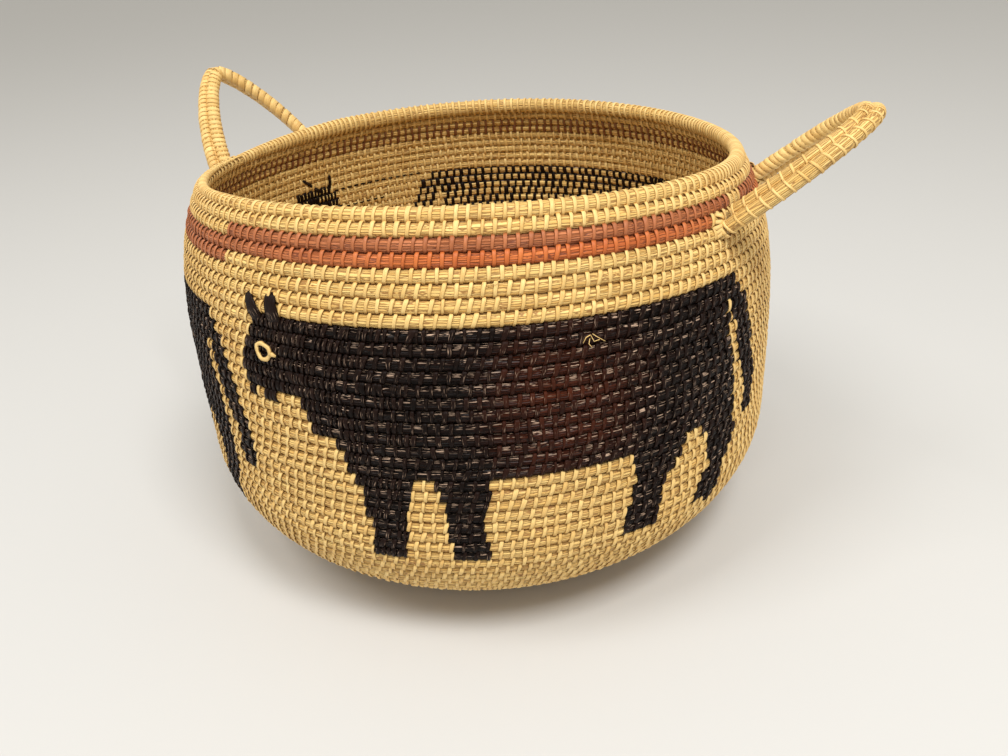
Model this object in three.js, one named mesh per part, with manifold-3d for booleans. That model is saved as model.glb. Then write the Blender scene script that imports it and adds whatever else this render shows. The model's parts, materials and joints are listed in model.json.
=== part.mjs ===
// A round coiled basket with two stiff loop handles, in millimetres, standing on z = 0.
// One bundle of grass is coiled from the middle of the base to the rim, and each turn is sewn to
// the turn below it, so a stage of several turns is one solid with a groove between its turns.
// The coil climbs clockwise as seen from above. The handles stand on the X axis.
import * as THREE from "three";
import { mergeVertices } from "three/addons/utils/BufferGeometryUtils.js";
import Module from "manifold-3d";

// Outline of the body
const BASE_RADIUS = 72;
const BELLY_RADIUS = 169;
const BELLY_HEIGHT = 75;
const MOUTH_RADIUS = 146.5;
const WALL_HEIGHT = 224;
const SHOULDER_POWER = 4.35;

// A hand-made rim isn't level: it stands higher on one side, and dips at the two handles.
const RIM_LEAN = 10.4;
const RIM_SADDLE = 2.9;
const HIGH_SIDE = THREE.MathUtils.degToRad(-68);

// The coil
const COIL_THICKNESS = 6;
const GROOVE_DEPTH = 1.3;
const PITCH_AT_BASE = 5.6;
const PITCH_AT_RIM = 6.16;
const UNDERSIDE_CUT = 0.5;
const UNDERSIDE_FLAT = 2.6;
const COIL_STEPS = 20;
const GAP = 0.3;

// The rim coil fills the height that is left below a level top, so it's thickest where it starts,
// and it ends in a tapered tail.
const COIL_END_BELOW_TOP = 1.9;
const RIM_FULLNESS = 0.84;
const RIM_SWELL_STEPS = 2;
const TAIL_STEPS = 3;
const TAIL_SIZE = 0.3;

// Stages of the coil, in turns, from the start of the dyed band downwards
const STAGE_AZIMUTH = THREE.MathUtils.degToRad(-108);
const NECK_PAST_STAGE_STEPS = 3;
const BAND_TURNS = 2;
const SHOULDER_TURNS = 4;
const BACK_TURNS = 6;
const FLANK_TURNS = 6;
const LEG_TURNS = 8;
const FOOT_TURNS = 6;
const KNOT_TURNS = 1.5;

// Handles: two bundles side by side, sewn on outside the wall. Lean is from upright, in degrees.
const BUNDLE_DIAMETER = 7.2;
const HANDLE_SPAN = 80;
const HANDLE_STAND_OFF = 5;
const LEG_STRAIGHT = 6;
const LEG_TAIL = 14;
const HANDLE_STEPS = 20;
const BUNDLE_HALF_SIDES = 5;
const HANDLES = [
  { name: "right", azimuth: 4, lean: 51, footBelowRim: 18, reach: 67, roundness: 2 },
  { name: "left", azimuth: 176, lean: 35, footBelowRim: 27, reach: 73, roundness: 1.4 },
];

// A lashing is a collar of strip round the two bundles where they meet the wall.
const LASHING_THICKNESS = 1.4;
const LASHING_LENGTH = 5.5;
const LASHING_CLEARANCE = 0.6;
const LASHING_ROOT = 10;

// Raised details of the figures: degrees from the nose, and grooves below the dyed band's top.
// An ear is a strip over two turns, and its ends go down into the grooves.
const FIGURES = [
  { nose: -101.6, turnsLower: 0 },
  { nose: 161.5, turnsLower: 0 },
  { nose: 39, turnsLower: 1 },
];
const EAR_DEGREES = [4.8, 9.2];
const EAR_GROOVES_DOWN = 5;
const EAR_TURNS_LONG = 2.1;
const EAR_WIDTH = 4.9;
const EAR_THICKNESS = 0.9;
const EAR_RISE = 1;
const EAR_END_DEPTH = 0.6;
const EYE_DEGREES = 6.1;
const EYE_GROOVES_DOWN = 9;
const EYE_RADIUS = 4;
const EYE_STRIP = 0.85;

const STRAW = { color: 0xdcc083, roughness: 0.72, metalness: 0 };
const TERRACOTTA = { color: 0xb5623a, roughness: 0.68, metalness: 0 };
const DARK = { color: 0x2b201c, roughness: 0.5, metalness: 0 };

const TURN = Math.PI * 2;

const manifold = await Module();
manifold.setup();

// The outline as points with their distance along it, from the middle of the base to the rim's top
function traceOutline() {
  const samples = 240;
  const points = [new THREE.Vector2(0, 0)];
  for (let i = 0; i <= samples; i++) {
    const angle = (i / samples) * (Math.PI / 2);
    const radius = BASE_RADIUS + (BELLY_RADIUS - BASE_RADIUS) * Math.sin(angle);
    points.push(new THREE.Vector2(radius, BELLY_HEIGHT * (1 - Math.cos(angle))));
  }
  for (let i = 1; i <= samples; i++) {
    const rise = i / samples;
    const radius = BELLY_RADIUS - (BELLY_RADIUS - MOUTH_RADIUS) * rise ** SHOULDER_POWER;
    points.push(new THREE.Vector2(radius, BELLY_HEIGHT + (WALL_HEIGHT - BELLY_HEIGHT) * rise));
  }
  let along = 0;
  return points.map((point, i) => {
    along += i ? point.distanceTo(points[i - 1]) : 0;
    return { point, along };
  });
}

const outline = traceOutline();
const outlineLength = outline[outline.length - 1].along;

// Radius and height of the outline at a distance along it, moved inwards by depth
function outlinePoint(along, depth) {
  let i = 1;
  while (i < outline.length - 1 && outline[i].along < along) {
    i++;
  }
  const start = outline[i - 1];
  const end = outline[i];
  const share = (along - start.along) / (end.along - start.along);
  const direction = end.point.clone().sub(start.point).normalize();
  const inwards = new THREE.Vector2(-direction.y, direction.x);
  return start.point.clone().lerp(end.point, share).addScaledVector(inwards, depth);
}

// The body's radius at a height of the wall
function wallRadius(height) {
  const near = outline.findIndex((sample) => sample.point.y >= height);
  return outline[near].point.x;
}

// A point of the body, with the rim's lean and dip
function place(azimuth, radius, height) {
  const rise = (height / WALL_HEIGHT) ** 2;
  const lean = RIM_LEAN * (radius / MOUTH_RADIUS) * Math.cos(azimuth - HIGH_SIDE);
  const saddle = RIM_SADDLE * Math.cos(2 * (azimuth - HIGH_SIDE));
  const z = height + rise * (lean + saddle);
  return new THREE.Vector3(radius * Math.cos(azimuth), radius * Math.sin(azimuth), z);
}

// How many turns the outline takes, to a whole step, and the pitch that fills it exactly
const pitchMean = PITCH_AT_BASE + (PITCH_AT_RIM - PITCH_AT_BASE) / 4;
const coilLength = outlineLength - COIL_END_BELOW_TOP;
const coilEnd = Math.round((coilLength / pitchMean) * COIL_STEPS);
const turns = coilEnd / COIL_STEPS;
const pitchFit = coilLength / (pitchMean * turns);

// Distance along the outline of the coil's middle at a turn, with the pitch growing to the rim
function alongAt(turn) {
  const growth = ((PITCH_AT_RIM - PITCH_AT_BASE) * turns * (turn / turns) ** 4) / 4;
  return pitchFit * (PITCH_AT_BASE * turn + growth);
}

// Stage limits as steps of the coil
const rimStart = coilEnd - COIL_STEPS;
const neckStart = rimStart - COIL_STEPS - NECK_PAST_STAGE_STEPS;
const bandStart = neckStart - BAND_TURNS * COIL_STEPS;
const shoulderStart = bandStart - SHOULDER_TURNS * COIL_STEPS;
const backStart = shoulderStart - BACK_TURNS * COIL_STEPS;
const flankStart = backStart - FLANK_TURNS * COIL_STEPS;
const legStart = flankStart - LEG_TURNS * COIL_STEPS;
const footStart = legStart - FOOT_TURNS * COIL_STEPS;
const turnsOfBase = BASE_RADIUS / (PITCH_AT_BASE * pitchFit) - 0.5;
const turnsUnderFoot = Math.ceil(footStart / COIL_STEPS - turnsOfBase);
const bowlStart = footStart - Math.ceil(turnsUnderFoot / 2) * COIL_STEPS;
const heelStart = footStart - turnsUnderFoot * COIL_STEPS;
const baseStart = KNOT_TURNS * COIL_STEPS;

function azimuthAt(step) {
  return STAGE_AZIMUTH - ((step - neckStart) / COIL_STEPS) * TURN;
}

// A corner of the coil: step gives the azimuth, slide moves it along the coil
function coilCorner(step, along, depth, slide = 0) {
  const at = outlinePoint(along, depth);
  return place(azimuthAt(step) - slide / at.x, at.x, at.y);
}

// Faces are given as rows of corner numbers.
function solidGeometry(corners, faces) {
  const geometry = new THREE.BufferGeometry();
  const position = corners.flatMap((corner) => corner.toArray());
  geometry.setAttribute("position", new THREE.Float32BufferAttribute(position, 3));
  geometry.setIndex(faces.flat());
  geometry.computeVertexNormals();
  return geometry;
}

function fan(ring) {
  return ring.slice(2).map((corner, i) => [ring[0], ring[i + 1], corner]);
}

// Faces between two sections of a coil. A section runs up its outer side and down its inner side,
// where its last three corners are; its top or its bottom can be left open for the next turn.
function skin(here, next, open = []) {
  const skipped = { top: here.length - 4, bottom: here.length - 1 };
  const left = open.map((name) => skipped[name]);
  return here.flatMap((corner, side) => {
    const after = (side + 1) % here.length;
    const upper = [corner, next[after], next[side]];
    const lower = [corner, here[after], next[after]];
    return left.includes(side) ? [] : [upper, lower];
  });
}

// A stage of the coil, from step first to step last, sewn turn to turn into one shell.
// Turns of one stage share the corners of the groove between them.
function coilStage(first, last, { standing = false } = {}) {
  const cut = standing ? UNDERSIDE_CUT : 0;
  const thickness = COIL_THICKNESS - cut;
  const depths = { outer: GROOVE_DEPTH - cut, inner: thickness - GROOVE_DEPTH };
  const corners = [];
  const faces = [];
  const known = new Map();
  const slideAt = (step) => {
    const atStart = step === first || step === first + COIL_STEPS;
    const atEnd = step === last || step === last + COIL_STEPS;
    return atStart ? GAP / 2 : atEnd ? -GAP / 2 : 0;
  };
  const corner = (name, step, along, depth) => {
    const key = name + step;
    if (!known.has(key)) {
      known.set(key, corners.length);
      corners.push(coilCorner(step, along, depth, slideAt(step)));
    }
    return known.get(key);
  };
  const groove = (side, step) => {
    const clear = step <= first + COIL_STEPS ? GAP / 2 : step >= last ? -GAP / 2 : 0;
    return corner(side, step, alongAt(step / COIL_STEPS - 0.5) + clear, depths[side]);
  };
  const ridge = (name, step, shift, depth) => {
    return corner(name, step, alongAt(step / COIL_STEPS) + shift, depth);
  };
  const outerRidge = standing
    ? (step) => [
        ridge("flat-start", step, -UNDERSIDE_FLAT / 2, 0),
        ridge("flat-end", step, UNDERSIDE_FLAT / 2, 0),
      ]
    : (step) => [ridge("ridge", step, 0, 0)];
  const section = (step) => [
    groove("outer", step),
    ...outerRidge(step),
    groove("outer", step + COIL_STEPS),
    groove("inner", step + COIL_STEPS),
    ridge("inner-ridge", step, 0, thickness),
    groove("inner", step),
  ];
  for (let step = first; step < last; step++) {
    const open = [];
    if (step + COIL_STEPS < last) {
      open.push("top");
    }
    if (step >= first + COIL_STEPS) {
      open.push("bottom");
    }
    faces.push(...skin(section(step), section(step + 1), open));
  }
  faces.push(...fan(section(first).reverse()));
  faces.push(...fan(section(last)));
  return solidGeometry(corners, faces);
}

// The last turn: its section swells after the start and shrinks in the tail.
function rimStage(first, last) {
  const across = [0.55, 1, 0.95, 0.45, -0.45, -0.95, -1, -0.55];
  const upwards = [0, 0.35, 0.72, 1, 1, 0.72, 0.35, 0];
  const corners = [];
  const faces = [];
  for (let step = first; step <= last; step++) {
    const swell = Math.min((step - first) / RIM_SWELL_STEPS, 1);
    const left = Math.min((last - step) / TAIL_STEPS, 1);
    const tail = TAIL_SIZE + (1 - TAIL_SIZE) * left;
    const bottom = alongAt(step / COIL_STEPS - 0.5) + GAP / 2;
    const top = alongAt(step / COIL_STEPS + 0.5) - GAP / 2;
    const height = THREE.MathUtils.lerp(top, outlineLength, swell) - bottom;
    const width = Math.max(height * RIM_FULLNESS, COIL_THICKNESS) * tail;
    across.forEach((share, i) => {
      const depth = COIL_THICKNESS / 2 - (share * width) / 2;
      const slide = step === first ? GAP / 2 : 0;
      corners.push(coilCorner(step, bottom + upwards[i] * height * tail, depth, slide));
    });
  }
  const sides = across.length;
  const ring = (step) => across.map((_, i) => (step - first) * sides + i);
  for (let step = first; step < last; step++) {
    faces.push(...skin(ring(step), ring(step + 1)));
  }
  faces.push(...fan(ring(first).reverse()));
  faces.push(...fan(ring(last)));
  return solidGeometry(corners, faces);
}

// The wound button in the middle, as a snail outline that the first turn of the base lies against
function knotGeometry() {
  const shape = new THREE.Shape();
  for (let i = 0; i <= COIL_STEPS; i++) {
    const step = baseStart + i;
    const radius = alongAt(step / COIL_STEPS - 0.5) - GAP / 2;
    const slide = i === 0 || i === COIL_STEPS ? GAP / radius : 0;
    const azimuth = azimuthAt(step) + slide;
    const point = [radius * Math.cos(azimuth), radius * Math.sin(azimuth)];
    if (i === 0) {
      shape.moveTo(...point);
    } else {
      shape.lineTo(...point);
    }
  }
  const depth = COIL_THICKNESS - UNDERSIDE_CUT;
  return new THREE.ExtrudeGeometry(shape, { depth, bevelEnabled: false });
}

function toSolid(geometry) {
  const bare = geometry.clone();
  bare.deleteAttribute("normal");
  bare.deleteAttribute("uv");
  const merged = mergeVertices(bare, 1e-4);
  const mesh = new manifold.Mesh({
    numProp: 3,
    vertProperties: merged.attributes.position.array,
    triVerts: new Uint32Array(merged.index.array),
  });
  return new manifold.Manifold(mesh);
}

function fromSolid(solid) {
  const mesh = solid.getMesh();
  const geometry = new THREE.BufferGeometry();
  geometry.setAttribute("position", new THREE.BufferAttribute(mesh.vertProperties, 3));
  geometry.setIndex(new THREE.BufferAttribute(mesh.triVerts, 1));
  geometry.computeVertexNormals();
  return geometry;
}

// How far the rim stands out from the coil below it, where it's thickest
const rimTallest = outlineLength - alongAt(rimStart / COIL_STEPS + 0.1 - 0.5);
const rimProud = (rimTallest * RIM_FULLNESS - COIL_THICKNESS) / 2;

// The upper body as one solid with a clearance round it, which trims what is sewn on from outside
function bodyBlank() {
  const rings = 18;
  const lowest = alongAt(flankStart / COIL_STEPS);
  const corners = [];
  const faces = [];
  for (let ring = 0; ring <= rings; ring++) {
    const along = lowest + (outlineLength - lowest) * (ring / rings);
    const onRim = along > alongAt(rimStart / COIL_STEPS) ? rimProud : 0;
    for (let step = 0; step < COIL_STEPS; step++) {
      corners.push(coilCorner(-step, along, -GAP - onRim));
    }
  }
  for (let ring = 0; ring < rings; ring++) {
    for (let step = 0; step < COIL_STEPS; step++) {
      const here = ring * COIL_STEPS + step;
      const beside = ring * COIL_STEPS + ((step + 1) % COIL_STEPS);
      faces.push([here, beside, beside + COIL_STEPS]);
      faces.push([here, beside + COIL_STEPS, here + COIL_STEPS]);
    }
  }
  const lowRing = Array.from({ length: COIL_STEPS }, (_, i) => i);
  faces.push(...fan(lowRing.toReversed()));
  faces.push(...fan(lowRing.map((i) => i + rings * COIL_STEPS)));
  return toSolid(solidGeometry(corners, faces));
}

const blank = bodyBlank();

// A handle's own directions: sideways along the wall, up the loop, and out of the loop's plane
function handleFrame(handle) {
  const azimuth = THREE.MathUtils.degToRad(handle.azimuth);
  const lean = THREE.MathUtils.degToRad(handle.lean);
  const outwards = new THREE.Vector3(Math.cos(azimuth), Math.sin(azimuth), 0);
  const upwards = new THREE.Vector3(0, 0, 1);
  const sideways = upwards.clone().cross(outwards);
  const up = outwards.clone().multiplyScalar(Math.sin(lean));
  up.addScaledVector(upwards, Math.cos(lean));
  const out = outwards.clone().multiplyScalar(Math.cos(lean));
  out.addScaledVector(upwards, -Math.sin(lean));
  const footHeight = WALL_HEIGHT - handle.footBelowRim;
  const footRadius = wallRadius(footHeight) + HANDLE_STAND_OFF;
  const chordRadius = Math.sqrt(footRadius ** 2 - (HANDLE_SPAN / 2) ** 2);
  const middle = place(azimuth, chordRadius, footHeight);
  return { middle, sideways, up, out };
}

// A point in the loop's plane: across from its middle, up from its feet, off to one side of it
function handlePoint(frame, across, up, off) {
  return frame.middle
    .clone()
    .addScaledVector(frame.sideways, across)
    .addScaledVector(frame.up, up)
    .addScaledVector(frame.out, off);
}

const bundleOffset = (BUNDLE_DIAMETER + GAP) / 2;

function bundleGeometry(handle, off) {
  const frame = handleFrame(handle);
  const half = HANDLE_SPAN / 2;
  const arcPoints = 12;
  const legHeights = [-LEG_TAIL, -LEG_TAIL / 2, 0];
  const points = legHeights.map((up) => handlePoint(frame, half, up, off));
  for (let i = 0; i <= arcPoints; i++) {
    const angle = (i / arcPoints) * Math.PI;
    const cosine = Math.cos(angle);
    const across = Math.sign(cosine) * Math.abs(cosine) ** (2 / handle.roundness);
    const rise = Math.max(Math.sin(angle), 0) ** (2 / handle.roundness);
    const up = LEG_STRAIGHT + (handle.reach - LEG_STRAIGHT) * rise;
    points.push(handlePoint(frame, half * across, up, off));
  }
  points.push(...legHeights.toReversed().map((up) => handlePoint(frame, -half, up, off)));
  const section = new THREE.Shape();
  section.absarc(0, 0, BUNDLE_DIAMETER / 2, 0, TURN, false);
  const tube = new THREE.ExtrudeGeometry(section, {
    steps: HANDLE_STEPS,
    curveSegments: BUNDLE_HALF_SIDES,
    extrudePath: new THREE.CatmullRomCurve3(points),
    bevelEnabled: false,
  });
  return fromSolid(toSolid(tube).subtract(blank));
}

// How far down the leg its middle line meets the body
function legContact(frame, across) {
  const step = 0.25;
  let up = 0;
  let point = handlePoint(frame, across, up, 0);
  while (Math.hypot(point.x, point.y) > wallRadius(point.z) && up > -LEG_TAIL) {
    up -= step;
    point = handlePoint(frame, across, up, 0);
  }
  return up;
}

function slot(path, radius) {
  path.absarc(bundleOffset, 0, radius, -Math.PI / 2, Math.PI / 2, false);
  path.absarc(-bundleOffset, 0, radius, Math.PI / 2, (Math.PI * 3) / 2, false);
  path.closePath();
  return path;
}

function lashingGeometry(handle, across) {
  const frame = handleFrame(handle);
  const inner = BUNDLE_DIAMETER / 2 + LASHING_CLEARANCE;
  const shape = slot(new THREE.Shape(), inner + LASHING_THICKNESS);
  shape.holes.push(slot(new THREE.Path(), inner));
  const collar = new THREE.ExtrudeGeometry(shape, {
    depth: LASHING_ROOT + LASHING_LENGTH,
    curveSegments: 4,
    bevelEnabled: false,
  });
  const contact = legContact(frame, across);
  const origin = handlePoint(frame, across, contact - LASHING_ROOT, 0);
  const turned = new THREE.Matrix4().makeBasis(frame.out, frame.sideways, frame.up);
  collar.applyMatrix4(turned.setPosition(origin));
  return fromSolid(toSolid(collar).subtract(blank));
}

// Place and directions on the outside of the body, following its facets
function wallFrame(azimuth, along) {
  const step = neckStart - ((azimuth - STAGE_AZIMUTH) / TURN) * COIL_STEPS;
  const low = Math.floor(step);
  const at = (distance) => {
    return coilCorner(low, distance, 0).lerp(coilCorner(low + 1, distance, 0), step - low);
  };
  const origin = at(along);
  const sideways = coilCorner(low, along, 0).sub(coilCorner(low + 1, along, 0)).normalize();
  const rough = at(along + 1).sub(at(along - 1)).normalize();
  const out = sideways.clone().cross(rough).normalize();
  const up = out.clone().cross(sideways);
  return { origin, sideways, up, out };
}

// Place and directions of a detail over one of the grooves
function detailFrame(figure, degrees, groovesDown) {
  const azimuth = THREE.MathUtils.degToRad(figure.nose + degrees);
  const turnsPast = (azimuth - STAGE_AZIMUTH) / TURN;
  const turn = neckStart / COIL_STEPS - turnsPast + 0.5 - groovesDown - figure.turnsLower;
  return wallFrame(azimuth, alongAt(turn));
}

// A wide strip that lies over two turns of the coil
function earGeometry(figure, degrees) {
  const { origin, up, out } = detailFrame(figure, degrees, EAR_GROOVES_DOWN);
  const half = (EAR_TURNS_LONG * pitchFit * pitchMean) / 2;
  const crown = 2 * EAR_RISE - EAR_END_DEPTH;
  const shape = new THREE.Shape();
  shape.moveTo(-half, -EAR_END_DEPTH);
  shape.quadraticCurveTo(0, crown, half, -EAR_END_DEPTH);
  shape.lineTo(half, EAR_THICKNESS - EAR_END_DEPTH);
  shape.quadraticCurveTo(0, EAR_THICKNESS + crown, -half, EAR_THICKNESS - EAR_END_DEPTH);
  shape.closePath();
  const strip = new THREE.ExtrudeGeometry(shape, {
    depth: EAR_WIDTH,
    curveSegments: 4,
    bevelEnabled: false,
  });
  strip.translate(0, GAP, -EAR_WIDTH / 2);
  const turned = new THREE.Matrix4().makeBasis(up, out, up.clone().cross(out));
  return strip.applyMatrix4(turned.setPosition(origin));
}

function eyeGeometry(figure) {
  const { origin, sideways, up, out } = detailFrame(figure, EYE_DEGREES, EYE_GROOVES_DOWN);
  const ring = new THREE.TorusGeometry(EYE_RADIUS, EYE_STRIP, 5, 12);
  ring.translate(0, 0, GAP + EYE_STRIP);
  const turned = new THREE.Matrix4().makeBasis(sideways, up, out);
  return ring.applyMatrix4(turned.setPosition(origin));
}

const basket = new THREE.Group();

function add(name, geometry, finish) {
  const mesh = new THREE.Mesh(geometry, new THREE.MeshStandardMaterial(finish));
  mesh.name = name;
  basket.add(mesh);
}

add("start_knot", knotGeometry(), STRAW);
add("base_coil", coilStage(baseStart, heelStart, { standing: true }), STRAW);
add("heel_coil", coilStage(heelStart, bowlStart), STRAW);
add("bowl_coil", coilStage(bowlStart, footStart), STRAW);
add("foot_coil", coilStage(footStart, legStart), STRAW);
add("leg_band_coil", coilStage(legStart, flankStart), STRAW);
add("flank_band_coil", coilStage(flankStart, backStart), DARK);
add("back_band_coil", coilStage(backStart, shoulderStart), DARK);
add("shoulder_coil", coilStage(shoulderStart, bandStart), STRAW);
add("terracotta_band_coil", coilStage(bandStart, neckStart), TERRACOTTA);
add("neck_coil", coilStage(neckStart, rimStart), STRAW);
add("rim_coil", rimStage(rimStart, coilEnd), STRAW);

HANDLES.forEach((handle) => {
  const half = HANDLE_SPAN / 2;
  add(`${handle.name}_handle_upper_bundle`, bundleGeometry(handle, -bundleOffset), STRAW);
  add(`${handle.name}_handle_lower_bundle`, bundleGeometry(handle, bundleOffset), STRAW);
  add(`${handle.name}_handle_lashing_a`, lashingGeometry(handle, half), STRAW);
  add(`${handle.name}_handle_lashing_b`, lashingGeometry(handle, -half), STRAW);
});

FIGURES.forEach((figure, i) => {
  const name = `figure_${i + 1}`;
  add(`${name}_front_ear_strip`, earGeometry(figure, EAR_DEGREES[0]), DARK);
  add(`${name}_rear_ear_strip`, earGeometry(figure, EAR_DEGREES[1]), DARK);
  add(`${name}_eye_ring`, eyeGeometry(figure), STRAW);
});

console.log(`coil of ${turns.toFixed(2)} turns, pitch factor ${pitchFit.toFixed(4)}`);

export default basket;
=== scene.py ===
# %% [markdown]
# A coiled basket is one long bundle of dry grass, wound in a spiral from the middle of the base to
# the rim. A flat strip is wrapped round the bundle every few millimetres, and at each wrap it goes
# through the row below, so the rows hold each other. Dyed strips draw figures on the outside.
# This lesson builds it the same way: a spiral path first, then the grass, then every stitch.

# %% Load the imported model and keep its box
import json
import math
import random
import bmesh
import bpy
import numpy as np
from mathutils import Matrix, Vector

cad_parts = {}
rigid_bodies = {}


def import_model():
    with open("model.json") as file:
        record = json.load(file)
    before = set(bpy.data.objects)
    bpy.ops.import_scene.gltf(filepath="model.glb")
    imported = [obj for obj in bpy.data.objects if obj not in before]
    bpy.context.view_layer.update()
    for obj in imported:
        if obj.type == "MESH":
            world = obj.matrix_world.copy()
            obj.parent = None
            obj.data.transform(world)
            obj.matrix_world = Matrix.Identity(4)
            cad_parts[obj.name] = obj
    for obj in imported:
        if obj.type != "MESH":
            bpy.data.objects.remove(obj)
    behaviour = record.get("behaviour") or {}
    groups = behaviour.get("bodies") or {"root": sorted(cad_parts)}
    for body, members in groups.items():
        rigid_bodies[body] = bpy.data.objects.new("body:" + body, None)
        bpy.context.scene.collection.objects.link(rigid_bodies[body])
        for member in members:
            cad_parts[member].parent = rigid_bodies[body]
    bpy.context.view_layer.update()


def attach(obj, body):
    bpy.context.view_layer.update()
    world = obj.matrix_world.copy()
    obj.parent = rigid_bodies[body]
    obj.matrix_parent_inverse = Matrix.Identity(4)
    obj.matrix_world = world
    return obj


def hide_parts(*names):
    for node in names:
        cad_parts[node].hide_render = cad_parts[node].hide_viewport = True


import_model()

# %% [markdown]
# The view comes first, because it says which details matter. The camera stands where the picture
# was taken from: about half a metre away, a little above the rim, and turned slightly.

# %% Camera
CAMERA_AROUND = math.radians(32)
CAMERA_DISTANCE = 0.50619
CAMERA_HEIGHT = 0.35329
CAMERA_PITCH = 0.5078
CAMERA_YAW = 0.01735
CAMERA_ROLL = -0.07871
FOCAL_PIXELS = 900
PICTURE_WIDTH = 1008
SENSOR_WIDTH = 36


def camera_axes(pitch, yaw, roll):
    """Right, up and forward of a camera that looks along +Y when all three are zero."""
    forward = Vector((0, math.cos(pitch), -math.sin(pitch)))
    up = Vector((0, math.sin(pitch), math.cos(pitch)))
    right = Vector((1, 0, 0))
    turned = forward * math.cos(yaw) + right * math.sin(yaw)
    right = right * math.cos(yaw) - forward * math.sin(yaw)
    rolled = right * math.cos(roll) + up * math.sin(roll)
    up = up * math.cos(roll) - right * math.sin(roll)
    return rolled, up, turned


right, up, forward = camera_axes(CAMERA_PITCH, CAMERA_YAW, CAMERA_ROLL)
pose = Matrix((right, up, -forward)).transposed().to_4x4()
pose.translation = (0, -CAMERA_DISTANCE, CAMERA_HEIGHT)
camera_data = bpy.data.cameras.new("camera")
camera_data.sensor_width = SENSOR_WIDTH
camera_data.lens = SENSOR_WIDTH * FOCAL_PIXELS / PICTURE_WIDTH
camera = bpy.data.objects.new("camera", camera_data)
camera.matrix_world = Matrix.Rotation(CAMERA_AROUND, 4, "Z") @ pose
bpy.context.scene.collection.objects.link(camera)
bpy.context.scene.camera = camera
print("camera at", [round(v, 3) for v in camera.matrix_world.translation])

# %% [markdown]
# Everything follows one outline: a flat base, a belly that swells like a quarter of an ellipse,
# and a wall that leans in to the mouth. The outline is traced once, with the distance along it,
# so that a place on the basket is given by how far along the outline it is.

# %% The outline of the body
BASE_RADIUS = 0.072
BELLY_RADIUS = 0.169
BELLY_HEIGHT = 0.075
MOUTH_RADIUS = 0.1465
WALL_HEIGHT = 0.224
SHOULDER_POWER = 4.35
RIM_LEAN = 0.0104
RIM_SADDLE = 0.0029
HIGH_SIDE = math.radians(-68)

OUTLINE_SAMPLES = 400
ABOVE_BELLY = slice(OUTLINE_SAMPLES, None)
OUTLINE_STEP = 0.0008


def distances_along(path):
    """How far along a path each of its points is."""
    return np.concatenate([[0], np.cumsum(np.linalg.norm(np.diff(path, axis=0), axis=-1))])


quarter = np.linspace(0, math.pi / 2, OUTLINE_SAMPLES)
rise = np.linspace(0, 1, OUTLINE_SAMPLES)[1:]
outline_r = np.concatenate([
    [0],
    BASE_RADIUS + (BELLY_RADIUS - BASE_RADIUS) * np.sin(quarter),
    BELLY_RADIUS - (BELLY_RADIUS - MOUTH_RADIUS) * rise ** SHOULDER_POWER,
])
outline_z = np.concatenate([
    [0],
    BELLY_HEIGHT * (1 - np.cos(quarter)),
    BELLY_HEIGHT + (WALL_HEIGHT - BELLY_HEIGHT) * rise,
])
outline_s = distances_along(np.stack([outline_r, outline_z], -1))
OUTLINE_LENGTH = outline_s[-1]
print("outline", round(OUTLINE_LENGTH * 1000, 1), "mm long")


def outline_point(along, depth):
    """Radius and height at a distance along the outline, moved inwards by depth."""
    def at(distance):
        return np.array([np.interp(distance, outline_s, line) for line in (outline_r, outline_z)])
    r, z = at(along)
    dr, dz = at(along + OUTLINE_STEP) - at(along - OUTLINE_STEP)
    length = np.hypot(dr, dz)
    return r - dz / length * depth, z + dr / length * depth


def place(azimuth, r, z):
    """A point of the body in space, with the rim's lean and dip."""
    raised = (np.clip(z, 0, None) / WALL_HEIGHT) ** 2
    lean = RIM_LEAN * (r / MOUTH_RADIUS) * np.cos(azimuth - HIGH_SIDE)
    saddle = RIM_SADDLE * np.cos(2 * (azimuth - HIGH_SIDE))
    return np.stack([r * np.cos(azimuth), r * np.sin(azimuth), z + raised * (lean + saddle)], -1)


# %% [markdown]
# A turn number says where we are on the coil: 0 in the middle of the base, 62.5 at the tail of the
# rim. Every whole turn is one row. The coil climbs clockwise, so the azimuth falls as it grows.
# The end of the dyed band is easy to see, so the coil's place and the rows are counted from there.
# At any turn the coil has its own directions: x along the coil, y outwards and z up the wall.

# %% The spiral
COIL_RADIUS = 0.003
PITCH_AT_BASE = 0.0056
PITCH_AT_RIM = 0.00616
LAST_TURN = 62.5
RIM_START_TURN = LAST_TURN - 1
BAND_END_TURN = 60 + 1 / 3
BAND_END_DEGREES = -106
BAND_END_ROW = 2.5
COIL_END_BELOW_TOP = 0.0019
PITCH_FIT = (OUTLINE_LENGTH - COIL_END_BELOW_TOP) / (
    (PITCH_AT_BASE + (PITCH_AT_RIM - PITCH_AT_BASE) / 4) * LAST_TURN
)
AROUND_STEP = 0.01
UPWARD_STEP = 0.0012


def along_at(turn):
    """How far along the outline the coil is at a turn."""
    growth = (PITCH_AT_RIM - PITCH_AT_BASE) * LAST_TURN * (turn / LAST_TURN) ** 4 / 4
    return PITCH_FIT * (PITCH_AT_BASE * turn + growth)


def row_height(turn):
    return along_at(turn + 0.5) - along_at(turn - 0.5)


def row_of(turn):
    """The middle of the row that a turn belongs to, in rows below the rim."""
    return np.floor(BAND_END_TURN - turn) + BAND_END_ROW


def azimuth_at(turn):
    return math.radians(BAND_END_DEGREES) - 2 * math.pi * (turn - BAND_END_TURN)


def degrees_at(turn):
    """The azimuth of a turn in degrees, from -180 to 180."""
    return (np.degrees(azimuth_at(turn)) + 180) % 360 - 180


def turn_at(degrees, row):
    """The turn at an azimuth in degrees and at a row below the rim."""
    return BAND_END_TURN - ((degrees - BAND_END_DEGREES) % 360) / 360 + BAND_END_ROW - row


def unit(vectors):
    return vectors / np.linalg.norm(vectors, axis=-1, keepdims=True)


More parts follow.
